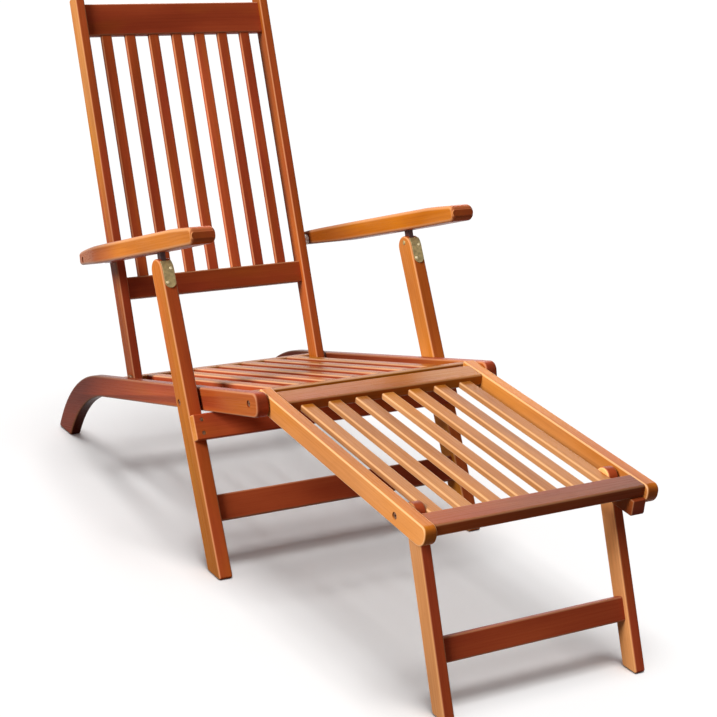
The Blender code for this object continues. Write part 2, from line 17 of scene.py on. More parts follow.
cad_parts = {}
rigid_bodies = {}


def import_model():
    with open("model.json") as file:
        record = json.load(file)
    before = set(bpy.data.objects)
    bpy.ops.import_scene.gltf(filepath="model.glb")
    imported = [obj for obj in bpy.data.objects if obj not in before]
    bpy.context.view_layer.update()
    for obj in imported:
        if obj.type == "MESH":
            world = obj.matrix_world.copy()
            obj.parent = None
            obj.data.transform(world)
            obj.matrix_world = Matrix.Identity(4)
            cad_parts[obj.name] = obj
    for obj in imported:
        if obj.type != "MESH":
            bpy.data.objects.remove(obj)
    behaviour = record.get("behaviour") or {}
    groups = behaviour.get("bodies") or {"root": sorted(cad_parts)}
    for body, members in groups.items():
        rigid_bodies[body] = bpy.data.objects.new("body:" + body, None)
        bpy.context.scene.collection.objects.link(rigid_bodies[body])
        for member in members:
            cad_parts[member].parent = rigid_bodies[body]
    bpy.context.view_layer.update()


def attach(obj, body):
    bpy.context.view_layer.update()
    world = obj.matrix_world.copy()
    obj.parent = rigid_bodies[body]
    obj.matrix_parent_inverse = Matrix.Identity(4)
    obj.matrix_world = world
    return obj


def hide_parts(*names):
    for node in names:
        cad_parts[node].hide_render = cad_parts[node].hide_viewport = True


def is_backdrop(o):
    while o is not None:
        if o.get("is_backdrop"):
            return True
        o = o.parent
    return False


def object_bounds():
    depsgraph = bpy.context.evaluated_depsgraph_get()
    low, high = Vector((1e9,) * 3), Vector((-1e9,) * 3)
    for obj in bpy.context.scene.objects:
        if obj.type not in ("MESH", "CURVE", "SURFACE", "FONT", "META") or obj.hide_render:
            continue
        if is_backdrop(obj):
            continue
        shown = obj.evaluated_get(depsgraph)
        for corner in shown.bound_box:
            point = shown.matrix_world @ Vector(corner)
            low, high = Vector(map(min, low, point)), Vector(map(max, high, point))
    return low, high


for leftover in list(bpy.data.objects):
    bpy.data.objects.remove(leftover, do_unlink=True)
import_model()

# %% [markdown]
# ## The camera
# The view was found by matching the corners of the chair to the picture. Three
# angles (turn, tilt and a slight roll) and a place are enough. The lens is a
# long one, which is why the far arm is almost as large as the near arm.

# %% Camera
IMAGE_SIDE = 717
FOCAL_PIXELS = 1723.7
SENSOR = 36.0
TURN, TILT, ROLL = -0.5392, 0.3018, 0.0456
Y_MID = 0.13973  # side view y of the chair's middle, where the frame has its origin
EYE = Vector((-1.5306, -2.5331 - Y_MID, 1.3041))


def placed(name, data):
    """A new object in the scene."""
    made = bpy.data.objects.new(name, data)
    bpy.context.scene.collection.objects.link(made)
    return made


forward = Vector(
    (-math.sin(TURN) * math.cos(TILT), math.cos(TURN) * math.cos(TILT), -math.sin(TILT))
)
level = Vector((math.cos(TURN), math.sin(TURN), 0.0))
upward = level.cross(forward)
rolled_right = math.cos(ROLL) * level + math.sin(ROLL) * upward
rolled_up = math.cos(ROLL) * upward - math.sin(ROLL) * level
camera = placed("camera", bpy.data.cameras.new("camera"))
camera.data.sensor_width = SENSOR
camera.data.lens = FOCAL_PIXELS * SENSOR / IMAGE_SIDE
placing = Matrix((rolled_right, rolled_up, -forward)).transposed().to_4x4()
placing.translation = EYE
camera.matrix_world = placing
bpy.context.scene.camera = camera
print("lens in mm:", round(camera.data.lens, 2))

# %% [markdown]
# ## Floor and studio light
# The picture has a white ground with one soft shadow straight below the chair,
# bright left sides, a pale sheen on the tops and dim fronts. Four broad lamps
# light the chair: a strong one on the left, a rear one for the sheen, and weak
# ones overhead and in front. Two more shine on the floor alone, one straight
# down for the shadow and a wide one to soften it. The world adds a little light
# all round, and shows as a white wall to the camera and in polished metal.

# %% Floor and light
def lamp(name, towards, strength, spread, tint):
    """A sun lamp shining along a direction; spread is the angle its disc fills, in degrees."""
    data = bpy.data.lights.new(name, "SUN")
    data.energy = strength
    data.angle = math.radians(spread)
    data.color = tint
    lit = placed(name, data)
    lit.rotation_euler = Vector(towards).to_track_quat("-Z", "Y").to_euler()
    return lit


overhead = lamp("overhead_softbox", (0.02, 0.05, -1.0), 0.2, 30.0, (1.0, 0.985, 0.97))
left = lamp("left_softbox", (1.0, 0.04, -0.70), 4.6, 30.0, (1.0, 0.98, 0.94))
front = lamp("front_fill", (0.25, 1.0, -0.35), 0.35, 100.0, (1.0, 0.84, 0.84))
behind = lamp("rear_softbox", (-0.49, -0.75, -0.45), 2.0, 40.0, (1.0, 0.96, 0.89))
ground_lamp = lamp("ground_lamp", (0.02, 0.05, -1.0), 2.60, 32.0, (1.0, 1.0, 1.0))
ground_fill = lamp("ground_fill", (0.0, 0.0, -1.0), 0.85, 150.0, (1.0, 1.0, 1.0))


class Desk:
    """Short way to lay out shader nodes: put() makes a node and wires or sets its sockets."""

    def __init__(self, tree):
        self.tree = tree

    def put(self, kind, sockets=None, **settings):
        made = self.tree.nodes.new("ShaderNode" + kind)
        for key, value in settings.items():
            setattr(made, key, value)
        for key, value in (sockets or {}).items():
            if isinstance(value, bpy.types.NodeSocket):
                self.tree.links.new(value, made.inputs[key])
            else:
                made.inputs[key].default_value = value
        return made

    def sum(self, operation, *values):
        """A Math node over up to three values."""
        return self.put("Math", dict(enumerate(values)), operation=operation).outputs[0]

    def times(self, value, factor, more=0.0):
        """value * factor + more."""
        return self.sum("MULTIPLY_ADD", value, factor, more)

    def mix(self, share, first, second):
        """The first colour, giving way to the second by that share."""
        return self.put("Mix", {0: share, 6: first, 7: second}, data_type="RGBA").outputs[2]

    def two_way(self, bounced, seen):
        """One shader for bounced light, another for what camera, mirrors and glass see."""
        path = self.put("LightPath").outputs
        share = self.sum("ADD", path["Is Camera Ray"], path["Is Glossy Ray"])
        share = self.sum("ADD", share, path["Is Transmission Ray"])
        shaders = {0: share, 1: bounced.outputs[0], 2: seen.outputs[0]}
        return self.put("MixShader", shaders).outputs[0]


def blank(made):
    """Clears a new material or world, and gives the desk to lay its nodes out on."""
    made.use_nodes = True
    made.node_tree.nodes.clear()
    return Desk(made.node_tree)


world = bpy.data.worlds.new("studio")
bpy.context.scene.world = world
desk = blank(world)
white_wall = desk.put("Background", {"Color": (1.0, 1.0, 1.0, 1.0), "Strength": 1.0})
fill_light = desk.put("Background", {"Color": (1.0, 0.94, 0.92, 1.0), "Strength": 0.05})
desk.put("OutputWorld", {0: desk.two_way(fill_light, white_wall)})

FLOOR_REACH = 60.0
FLOOR_DROP = 0.0006
ground = bpy.data.meshes.new("floor")
square = np.array([[-1, -1, 0], [1, -1, 0], [1, 1, 0], [-1, 1, 0]])
corners = FLOOR_REACH * square - [0, 0, FLOOR_DROP]
ground.from_pydata(corners.tolist(), [], [[0, 1, 2, 3]])
floor = placed("floor", ground)
floor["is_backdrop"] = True
floor_finish = bpy.data.materials.new("pale_floor")
desk = blank(floor_finish)
paper = desk.put("BsdfDiffuse", {"Color": (0.92, 0.92, 0.92, 1.0)})
bounce = desk.put("BsdfDiffuse", {"Color": (0.20, 0.17, 0.16, 1.0)})
desk.put("OutputMaterial", {0: desk.two_way(bounce, paper)})
ground.materials.append(floor_finish)


def shine(lit, state):
    """Lets a lamp light the floor alone (INCLUDE) or everything but the floor (EXCLUDE)."""
    group = bpy.data.collections.new(lit.name + "_floor")
    group.objects.link(floor)
    group.collection_objects[0].light_linking.link_state = state
    lit.light_linking.receiver_collection = group


shine(ground_lamp, "INCLUDE")
shine(ground_fill, "INCLUDE")
for lit in (overhead, left, front, behind):
    shine(lit, "EXCLUDE")
bpy.context.scene.view_settings.view_transform = "Standard"
print("floor and six lamps placed")

# %% [markdown]
# ## Lines of the side view
# Every board of the chair lies along one of six lines in the side view: seat,
# back, front leg, arm, footrest and footrest leg. A point is then two plain
# numbers, s along the line and n above it. A maker's rod works the same way.

# %% Lines of the side view
LINES = {
    "seat": ((0.0, 0.3520), -14.44, 1),
    "back": ((0.5701, 0.2910), 66.5, 1),
    "leg": ((0.0, 0.0), 61.99, 1),
    "arm": ((0.2910, 0.5392), -17.46, -1),
    "foot": ((-0.0295, 0.3395), 5.43, -1),
    "foot_leg": ((-0.6081, 0.0), 69.3, 1),
}


def axes(line):
    """Start point and the two unit directions, along and above, of a line."""
    start, degrees, way = LINES[line]
    angle = math.radians(degrees)
    run = way * np.array([math.cos(angle), math.sin(angle)])
    rise = np.array([-math.sin(angle), math.cos(angle)])
    return np.array(start), run, rise


def on(line, s, n):
    """Side view points: start + s * along + n * above, as an array of (y, z)."""
    start, run, rise = axes(line)
    s, n = np.broadcast_arrays(np.asarray(s, float), np.asarray(n, float))
    return start + s[..., None] * run + n[..., None] * rise


def reading(line, point):
    """The (s, n) of a side view point."""
    start, run, rise = axes(line)
    return np.array([(np.array(point) - start) @ run, (np.array(point) - start) @ rise])


# The pivots. Seat, back, arm and leg make a parallelogram, so the arm and leg
# pivots differ from the back and seat pivots by the same step.
LINK_STEP = np.array([0.1095, 0.2303])
BACK_PIVOT = np.array([0.5480, 0.2040])
LEG_PIVOT = np.array([0.1845, 0.2785])
ARM_PIVOT = BACK_PIVOT + LINK_STEP
TONGUE_PIVOT = LEG_PIVOT + LINK_STEP
FOOT_PIVOT = np.array([-0.0295, 0.3395])
FOOT_LEG_AT = 0.4481
FOOT_LEG_PIVOT = on("foot", FOOT_LEG_AT, 0.0)
GAP = 0.0003
print("arm pivot at", ARM_PIVOT.round(4), "tongue pivot at", TONGUE_PIVOT.round(4))

# %% [markdown]
# ## Skins from rings
# Almost every piece is a stack of rings: points that run once round the timber.
# Joining ring to ring gives the skin, and the first and last rings are filled.
# Two kinds of stack cover all the woodwork. A sawn board is a side view outline
# whose rings shrink near both faces, which rounds its long edges like a router
# bit. A planed bar is a rounded rectangle carried along a path.

# %% Outlines, boards and bars
def unit(steps):
    """Steps brought to length one."""
    return steps / np.linalg.norm(steps, axis=1, keepdims=True)


def rounded(corners, radii, steps=12):
    """Polygon with every corner turned into an arc.

    The arc's centre sits r / sin(half angle) along the corner's bisector, and its
    points swing evenly from one side's touching point to the other's.
    """
    corners = np.asarray(corners, float)
    r = np.broadcast_to(np.asarray(radii, float), len(corners))[:, None]
    before = unit(np.roll(corners, 1, axis=0) - corners)
    after = unit(np.roll(corners, -1, axis=0) - corners)
    half = np.arccos(np.clip((before * after).sum(1, keepdims=True), -1, 1)) / 2
    centre = corners + unit(before + after) * r / np.sin(half)
    first = corners + before * r / np.tan(half) - centre
    last = corners + after * r / np.tan(half) - centre
    swing = (math.pi - 2 * half)[:, None]
    t = np.linspace(0, 1, steps + 1)[None, :, None]
    arc = np.sin((1 - t) * swing) * first[:, None] + np.sin(t * swing) * last[:, None]
    return (centre[:, None] + arc / np.sin(swing)).reshape(-1, 2)


def inward(outline):
    """For each outline point, the step that moves both its sides in by one unit."""
    ahead = unit(np.roll(outline, -1, axis=0) - outline)
    left = np.stack([-ahead[:, 1], ahead[:, 0]], 1)
    behind = np.roll(left, 1, axis=0)
    both = left + behind
    return both / (1 + (left * behind).sum(1, keepdims=True))


def anticlockwise(outline):
    """The outline turned round where its signed area is negative."""
    y, z = outline.T
    turn = (y * np.roll(z, -1) - np.roll(y, -1) * z).sum()
    return outline if turn > 0 else outline[::-1]


def box_outline(line, s0, s1, n0, n1, radius, steps=6):
    """Rounded rectangle from s0 to s1 along a line and from n0 to n1 above it."""
    corners = [on(line, s0, n0), on(line, s1, n0), on(line, s1, n1), on(line, s0, n1)]
    return rounded(corners, radius, steps)


EASE_STEPS = 4


def sawn(outline, x_near, x_far, ease):
    """Rings of a sawn board: at angle a through the eased edge the outline has moved
    in by ease * (1 - sin a), and x has moved by ease * (1 - cos a)."""
    outline = anticlockwise(np.asarray(outline, float))
    a = np.linspace(0, math.pi / 2, EASE_STEPS + 1)
    x_step = ease * (1 - np.cos(a))
    shrink = ease * (1 - np.sin(a))
    low, high = min(x_near, x_far), max(x_near, x_far)
    x = np.concatenate([low + x_step, (high - x_step)[::-1]])
    shrink = np.concatenate([shrink, shrink[::-1]])
    worn_and_highlight = np.concatenate([np.sin(2 * a), np.sin(2 * a)[::-1]])
    yz = outline[None] + shrink[:, None, None] * inward(outline)[None]
    x = np.broadcast_to(x[:, None, None], (*yz.shape[:2], 1))
    return np.concatenate([x, yz], -1), np.broadcast_to(worn_and_highlight[:, None], yz.shape[:2])


def planed(centre, across, above, half_wide, half_deep, ease):
    """Rings of a planed bar: at each station of the path, a rounded rectangle with
    corners at (+-half_wide, +-half_deep), made of four arcs of radius ease."""
    sizes = (half_wide, half_deep, ease)
    wide, deep, r = (np.broadcast_to(size, len(centre))[:, None] for size in sizes)
    r = np.minimum(r, np.minimum(wide, deep))
    a = np.linspace(0, math.pi / 2, EASE_STEPS + 1)
    a = (a[None] + np.array([0, 0.5, 1, 1.5])[:, None] * math.pi).ravel()
    sign_x = np.repeat([1, -1, -1, 1], EASE_STEPS + 1)
    sign_n = np.repeat([1, 1, -1, -1], EASE_STEPS + 1)
    w = sign_x * (wide - r) + r * np.cos(a)
    d = sign_n * (deep - r) + r * np.sin(a)
    across, above = np.asarray(across, float), np.asarray(above, float)
    w, d = w[..., None], d[..., None]
    rings = centre[:, None] + w * across[..., None, :] + d * above[..., None, :]
    return rings, np.broadcast_to(np.abs(np.sin(2 * a))[None], rings.shape[:2])


print("an eased edge has", EASE_STEPS + 1, "rings")

# %% [markdown]
# ## From rings to a piece of the chair
# A mesh needs points and faces. It is turned the right way out by its signed
# volume, and bores are cut with Boolean modifiers that are applied at once.
# Every wooden point or corner keeps a few numbers: where it is in its plank
# (grain), how far it is on an eased edge, how red and how light its plank is, and
# whether its face cuts across the fibres (end). The edge number carries wear and a
# painted highlight. The redness and lightness carry painted light and shade as well
# as the board's own colour. The varnish material reads them, so no two boards look alike.

# %% From rings to a piece
MIRROR = (("left", -1), ("right", 1))
draw = np.random.default_rng(20)
SHARP = math.radians(38)
ROUND_STEPS, STUD_STEPS = 48, 32


def skin(name, rings):
    """An object in the frame: quads between neighbouring rings plus a filled face on the
    first and last ring."""
    rows, count = rings.shape[:2]
    index = np.arange(rows * count).reshape(rows, count)
    along = np.roll(index, -1, axis=1)
    quads = np.stack([index[:-1], along[:-1], along[1:], index[1:]], -1).reshape(-1, 4)
    points = rings.reshape(-1, 3) - [0, Y_MID, 0]
    p = points - points.mean(0)
    a, b, c, d = (p[quads[:, k]] for k in range(4))
    volume = (np.cross(a, b) * c + np.cross(a, c) * d).sum()
    faces = quads.tolist() + [index[0][::-1].tolist(), index[-1].tolist()]
    if volume < 0:
        faces = [face[::-1] for face in faces]
    mesh = bpy.data.meshes.new(name)
    mesh.from_pydata(points.tolist(), [], faces)
    return placed(name, mesh)


def cut_away(piece, cutters):
    """Takes each cutter out of the piece, keeps the result and throws the cutters away."""
    for cutter in cutters:
        boolean = piece.modifiers.new("bore", "BOOLEAN")
        boolean.solver = "EXACT"
        boolean.object = cutter
    graph = bpy.context.evaluated_depsgraph_get()
    whole = bpy.data.meshes.new_from_object(piece.evaluated_get(graph))
    piece.modifiers.clear()
    piece.data, old = whole, piece.data
    bpy.data.meshes.remove(old)
    whole.name = piece.name
    for cutter in cutters:
        bpy.data.objects.remove(cutter, do_unlink=True)


def once_round(steps):
    """Angles that go once round a circle."""
    return np.linspace(0, 2 * math.pi, steps, endpoint=False)


def round_rings(centre, profile, side, steps=ROUND_STEPS):
    """Rings round an x axis: each (x, r) of the profile swept through a full turn."""
    x, r = np.asarray(profile, float).T
    a = once_round(steps)
    y = centre[0] + r[:, None] * np.cos(a)
    z = centre[1] + r[:, None] * np.sin(a)
    return np.stack([np.broadcast_to(side * x[:, None], y.shape), y, z], -1)


def drill(centre, profile, side):
    """A cutter for a stepped hole along x, as (x, r) pairs."""
    return skin("drill", round_rings(centre, profile, side))


def finish(piece, body, node, material):
    """Smooth shading that keeps flats flat, then the piece takes its solid's place."""
    mesh = piece.data
    mesh.shade_smooth()
    mesh.set_sharp_from_angle(angle=SHARP)
    even = piece.modifiers.new("even_shading", "WEIGHTED_NORMAL")
    even.weight = 100
    even.keep_sharp = True
    mesh.materials.clear()
    mesh.materials.append(material)
    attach(piece, body)
    if node:
        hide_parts(node)


def soft_step(x):
    """0 to 1 along x * x * (3 - 2 * x)."""
    x = np.clip(x, 0, 1)
    return x * x * (3 - 2 * x)


# Each kind of board: how red its faces and its sawn sides are (-1 pale, 0 golden,
# 1 red), how light it is, and a painted shade along its length: where that begins
# and ends, the share of lightness left there, how much redder it is there, and what
# part of this its faces take. The sides take all of it. The painted shade darkens and
# reddens the seat rails towards the rear feet, the left stile below the arm, the left
# leg low down and the arm's cranked rear. A share above one paints light on the right
# footrest leg high up. The lightness is partly the board's own tone and partly
# painted light that lifts boards the lamps leave in shade.
BOARDS = {
    "seat_rail": (1.45, 0.55, 1.12, (0.02, 0.32, 0.27, 0.80, 1.0)),
    "seat_slat": (0.30, 1.20, 1.00, None),
    "stile_left": (0.72, -0.55, 1.28, (0.36, 0.24, 0.55, 1.40, 0.6)),
    "stile_right": (0.72, 0.45, 1.24, (0.30, 0.58, 0.62, 0.0, 0.0)),
    "back_rail": (0.92, 0.00, 1.00, None),
    "back_slat": (0.88, 0.80, 1.21, None),
    "leg_left": (0.75, 0.02, 1.31, (0.40, 0.27, 0.43, 0.1, 0.1)),
    "leg_right": (0.48, -0.28, 1.40, None),
    "crossbar": (0.95, -0.10, 1.14, None),
    "stretcher": (1.10, 0.00, 0.86, None),
    "arm": (0.62, -0.08, 1.40, (-0.11, -0.315, 0.50, 0.50, 1.0)),
    "foot_side": (0.10, -0.50, 1.17, None),
    "foot_rear": (0.38, 0.20, 0.88, None),
    "foot_front": (0.42, 0.20, 0.92, (0.02, 0.26, 0.50, 0.50, 1.0)),
    "foot_slat": (-0.22, -0.90, 1.01, None),
    "foot_leg_left": (1.05, -0.85, 1.02, None),
    "foot_leg_right": (0.95, -0.90, 1.12, (0.14, 0.26, 2.20, 0.0, 0.1)),
}
# Boards whose eased edges take twice the pale edge colour, which is partly wear and partly a
# painted highlight.
HANDLED_AND_HIGHLIGHTED = ("foot_side", "foot_slat", "seat_slat")  # rubbed twice as much as the rest
# Distance of the tree's heart from a board's middle, and how far boards of one kind differ
HEART, LIGHTER, REDDER = (0.035, 0.110), (0.93, 1.07), (-0.1, 0.1)


def note(mesh, name, values, domain="POINT"):
    """Stores one number, or one vector, for every point or face corner of a mesh."""
    values = np.ascontiguousarray(values, np.float32)
    kind, key = ("FLOAT", "value") if values.ndim == 1 else ("FLOAT_VECTOR", "vector")
    mesh.attributes.new(name, kind, domain).data.foreach_set(key, values.ravel())


def wooden(name, rings_and_wear_highlight, body, node, line, board, lengthwise=True, cutters=()):
    """A piece of timber. Its grain runs along the line, or along x when not lengthwise."""
    rings, worn_and_highlight = rings_and_wear_highlight
    piece = skin(name, rings)
    # The eased-edge number paints a highlight as well as wear.
    note(piece.data, "worn_and_highlight", np.ravel(worn_and_highlight) * (1.0 if board in HANDLED_AND_HIGHLIGHTED else 0.5))
    if cutters:
        cut_away(piece, cutters)
    mesh = piece.data
    at = np.empty(len(mesh.vertices) * 3, np.float32)
    mesh.vertices.foreach_get("co", at)
    at = at.reshape(-1, 3) + [0, Y_MID, 0]
    start, run, rise = axes(line)
    s, n = (at[:, 1:] - start) @ run, (at[:, 1:] - start) @ rise
    plank = np.stack([s, at[:, 0], n] if lengthwise else [at[:, 0], s, n], 1)
    middle = plank[:, 1:].mean(0)
    bearing = draw.uniform(0, 2 * math.pi)
    pith = draw.uniform(*HEART) * np.array([math.cos(bearing), math.sin(bearing)])
    plank += np.concatenate([[draw.uniform(-5, 5)], pith - middle])
    note(mesh, "grain", plank)
    redness, painted_side_redness, lightness_and_painted_light, painted_light_and_shade_span = BOARDS[board]
    first, last, left_over, redder, on_faces = painted_light_and_shade_span or (0.0, 1.0, 1.0, 0.0, 1.0)
    # Painted shade along this stretch: the board turns darker and redder, and a share above one
    # paints light instead.
    along = s if lengthwise else at[:, 0]
    painted_light_and_shade = soft_step((along - first) / (last - first))
    tone_and_painted_light = lightness_and_painted_light * draw.uniform(*LIGHTER)
    stain_and_painted_light = redness + draw.uniform(*REDDER)
    finish(piece, body, node, VARNISHED_WOOD)
    facing = np.empty(len(mesh.loops) * 3, np.float32)
    mesh.corner_normals.foreach_get("vector", facing)
    facing = np.abs(facing.reshape(-1, 3) @ np.array([[1, 0, 0], [0, *run]]).T)
    # Painted light: faces turned along x take the side redness, which paints the lit sides paler
    # and more golden than the shaded faces.
    side, end = soft_step((facing - 0.5) / 0.45).T
    corners = np.empty(len(mesh.loops), np.int32)
    mesh.loops.foreach_get("vertex_index", corners)
    painted_light_and_shade = painted_light_and_shade[corners] * (on_faces + (1 - on_faces) * side)
    note(mesh, "tone_and_painted_light", tone_and_painted_light * (1 - (1 - left_over) * painted_light_and_shade), "CORNER")
    note(mesh, "stain_and_painted_light", stain_and_painted_light + redder * painted_light_and_shade - side * (redness - painted_side_redness), "CORNER")
    note(mesh, "end", end * lengthwise, "CORNER")


print("ring tools ready")

# %% [markdown]
# ## Varnished hardwood
# The timber is a red-brown tropical hardwood under clear gloss. Close to, it
# has growth rings cut at a slant, fine streaks, short dark pores and slow
# changes from orange to red. All of it is worked out from the grain numbers, so
# the rings run through a board and show as arcs on its ends. The faces turned
# along x get another redness than the rest, which is painted light: the lit sides
# paler and golden, the shaded faces redder. Eased edges are paler, partly rubbed
# and partly a painted highlight, and pores dull the gloss.

# %% Varnished hardwood
VARNISHED_WOOD = bpy.data.materials.new("varnished_hardwood_finish")
desk = blank(VARNISHED_WOOD)


def noted(name, output="Fac"):
    """What every point or corner keeps under that name."""
    return desk.put("Attribute", attribute_name=name).outputs[output]


def noise_along(stretch, detail, roughness=0.5):
    """Noise in the plank whose cells are 1 / stretch metres long, wide and deep."""
    scaled = desk.put("Mapping", {"Vector": grain, "Scale": stretch})
    return desk.put(
        "TexNoise",
        {"Vector": scaled.outputs[0], "Scale": 1.0, "Detail": detail, "Roughness": roughness},
    )


def ramp(value, first, middle, last, place=0.5):
    """Colours from the first, over the middle one at its place, to the last."""
    made = desk.put("ValToRGB", {0: value})
    made.color_ramp.elements[0].color = (*first, 1.0)
    made.color_ramp.elements[1].color = (*last, 1.0)
    made.color_ramp.elements.new(place).color = (*middle, 1.0)
    return made.outputs[0]


def vector(operation, *values):
    """A Vector Math node."""
    return desk.put("VectorMath", dict(enumerate(values)), operation=operation).outputs


grain, worn_and_highlight, tone_and_painted_light = noted("grain", "Vector"), noted("worn_and_highlight"), noted("tone_and_painted_light")
redness, end_grain = noted("stain_and_painted_light"), noted("end")
RINGS_PER_METRE, RING_WANDER = 150.0, 0.030
wander = noise_along((1.6, 10.0, 10.0), 2.0).outputs["Color"]
bent = vector("SUBTRACT", wander, (0.5, 0.5, 0.5))[0]
bent = vector("MULTIPLY_ADD", bent, (RING_WANDER,) * 3, grain)[0]
reach = vector("LENGTH", vector("MULTIPLY", bent, (0.0, 1.0, 1.0))[0])["Value"]
ring = desk.sum("FRACT", desk.times(reach, RINGS_PER_METRE))
EARLY, LATE = (0.25, 0.25, 0.25), (1.0, 1.0, 1.0)
late = ramp(ring, EARLY, LATE, EARLY, 0.82)

streak = noise_along((6.0, 330.0, 330.0), 5.0, 0.62).outputs[0]
cloud = noise_along((2.2, 11.0, 11.0), 3.0).outputs[0]
pore_noise = noise_along((52.0, 1500.0, 1500.0), 2.0).outputs[0]
pores = desk.put("MapRange", {0: pore_noise, 1: 0.60, 2: 0.74}).outputs[0]

figure = desk.times(late, 0.045, desk.times(streak, 0.14))
figure = desk.times(cloud, 0.80, figure)
figure = desk.put("MapRange", {0: figure, 1: 0.30, 2: 0.70}).outputs[0]
patch = noise_along((4.0, 14.0, 14.0), 2.0).outputs[0]
redness = desk.sum("ADD", redness, desk.times(patch, 1.2, -0.60))
paleness = desk.put("Clamp", {0: desk.times(redness, -1.0)}).outputs[0]
redness = desk.put("Clamp", {0: redness}).outputs[0]

pale = ramp(figure, (0.335, 0.140, 0.050), (0.470, 0.210, 0.080), (0.590, 0.290, 0.125))
golden = ramp(figure, (0.275, 0.074, 0.005), (0.402, 0.124, 0.007), (0.525, 0.184, 0.012))
reddish = ramp(figure, (0.220, 0.030, 0.011), (0.360, 0.056, 0.019), (0.490, 0.092, 0.029))
stained = desk.mix(redness, desk.mix(paleness, golden, pale), reddish)
stained = desk.mix(desk.times(pores, 0.25), stained, (0.120, 0.026, 0.007, 1.0))
stained = desk.mix(desk.times(end_grain, 0.50), stained, (0.130, 0.026, 0.009, 1.0))
# Eased edges turn cream, partly wear and partly a painted highlight. End faces take none of it.
rubbed_and_highlight = desk.times(worn_and_highlight, desk.times(end_grain, -0.52, 0.52))
stained = desk.mix(rubbed_and_highlight, stained, (0.900, 0.580, 0.320, 1.0))
stained = desk.put("HueSaturation", {"Value": tone_and_painted_light, "Color": stained}).outputs[0]
gloss = desk.times(pores, 0.22, desk.times(streak, 0.16, 0.20))
relief = desk.times(pores, -0.8, desk.times(streak, 0.5))
bump = desk.put("Bump", {"Strength": 0.22, "Distance": 0.0004, "Height": relief})
coat = {"Base Color": stained, "Roughness": gloss, "Specular IOR Level": 0.026}
varnish = desk.put("BsdfPrincipled", {**coat, "Normal": bump.outputs[0]})
desk.put("OutputMaterial", {0: varnish.outputs[0]})
print("wood material has", len(VARNISHED_WOOD.node_tree.nodes), "nodes")

# %% [markdown]
# ## Metals
# Bolts and screws are zinc plated and have browned, apart from the bright spacers
# at the arms. The straps on the leg tops are brass that has dulled to olive, the
# rivets are a pale brass that paints a glint on them, and the tongues under the
# arms are drawn near black. One recipe serves them all: slow stains, fine
# scratches and a polish that varies.

# %% Metals
def metal(name, clean, dull, polish, metallic):
    """Mixes a clean and a dull colour by noise, and lets scratches roughen the polish."""
    made = bpy.data.materials.new(name)
    desk = blank(made)
    place = desk.put("TexCoord").outputs["Object"]
    stains = desk.put("TexNoise", {"Vector": place, "Scale": 160.0, "Detail": 4.0})
    drawn = desk.put("Mapping", {"Vector": place, "Scale": (300.0, 2600.0, 900.0)})
    scratch = desk.put("TexNoise", {"Vector": drawn.outputs[0], "Scale": 1.0, "Detail": 3.0})
    share = desk.put("MapRange", {0: stains.outputs[0], 1: 0.38, 2: 0.66})
    colour = desk.mix(share.outputs[0], (*clean, 1.0), (*dull, 1.0))
    rough = desk.times(scratch.outputs[0], 0.22, polish - 0.11)
    rough = desk.times(share.outputs[0], 0.12, rough)
    bump = desk.put("Bump", {"Strength": 0.15, "Distance": 0.0001, "Height": scratch.outputs[0]})
    shader = desk.put(
        "BsdfPrincipled",
        {"Base Color": colour, "Metallic": metallic, "Roughness": rough, "Normal": bump.outputs[0]},
    )
    desk.put("OutputMaterial", {0: shader.outputs[0]})
    return made


DULL_BRASS = metal("dull_brass", (0.44, 0.34, 0.15), (0.28, 0.22, 0.10), 0.48, 0.45)
# Painted glint: the rivets' pale brass stands in for a highlight on them.
PAINTED_GLINT_BRASS = metal("brass_with_painted_glint", (0.86, 0.76, 0.50), (0.66, 0.56, 0.33), 0.36, 0.45)
ZINC_PLATE = metal("zinc_plate", (0.24, 0.11, 0.05), (0.12, 0.05, 0.025), 0.50, 0.25)
BRIGHT_ZINC = metal("bright_zinc", (0.80, 0.74, 0.69), (0.62, 0.56, 0.51), 0.50, 0.25)
NEAR_BLACK_METAL = metal("near_black_metal", (0.050, 0.013, 0.012), (0.085, 0.026, 0.022), 0.50, 0.10)
print("five metals mixed")

# %% [markdown]
# ## Seat: two rails that bend into the rear legs
# Each rail is sawn from one wide board: straight under the seat, widening, then
# curving down to the rear foot. The curve is a very large corner radius. The
# bolt of the footrest sits in a counterbore near the front end.

# %% Seat rails
SEAT_IN, SEAT_OUT = 0.2250, 0.2490
SEAT_RAIL_H = 0.0430
SEAT_EASE = 0.0040
PIN_R, BOLT_R, HEAD_R, COLLAR_R = 0.0030, 0.0035, 0.0060, 0.0110
# How far a drill runs past a face, stops short of one, and sinks a bolt's head
PAST, WOOD_LEFT, HEAD_SINK = 0.010, 0.004, 0.0053


def bore(near, far, shank):
    """Plain hole, as (x, r) pairs."""
    return [(near, shank + GAP), (far, shank + GAP)]


def counterbore(inner, face, deep=HEAD_SINK):
    """Through hole with a wider pocket of that depth at the outer face."""
    shaft, pocket, step = BOLT_R + GAP, HEAD_R + GAP, face - deep
    return [(inner - PAST, shaft), (step, shaft), (step, pocket), (face + PAST, pocket)]


def sawn_pair(name, node, body, line, board, outline, faces, ease, holes, more=None):
    """A left and a right board of one outline, between x of two faces. Holes are given
    as (pivot, profile), and more(sign) makes any other cutters."""
    for side, sign in MIRROR:
        cutters = [drill(pivot, profile, sign) for pivot, profile in holes]
        cutters += more(sign) if more else []
        rings = sawn(outline, sign * faces[0], sign * faces[1], ease)
        kind = board if board in BOARDS else f"{board}_{side}"
        wooden(f"{name}_{side}", rings, body, f"{node}_{side}", line, kind, cutters=cutters)


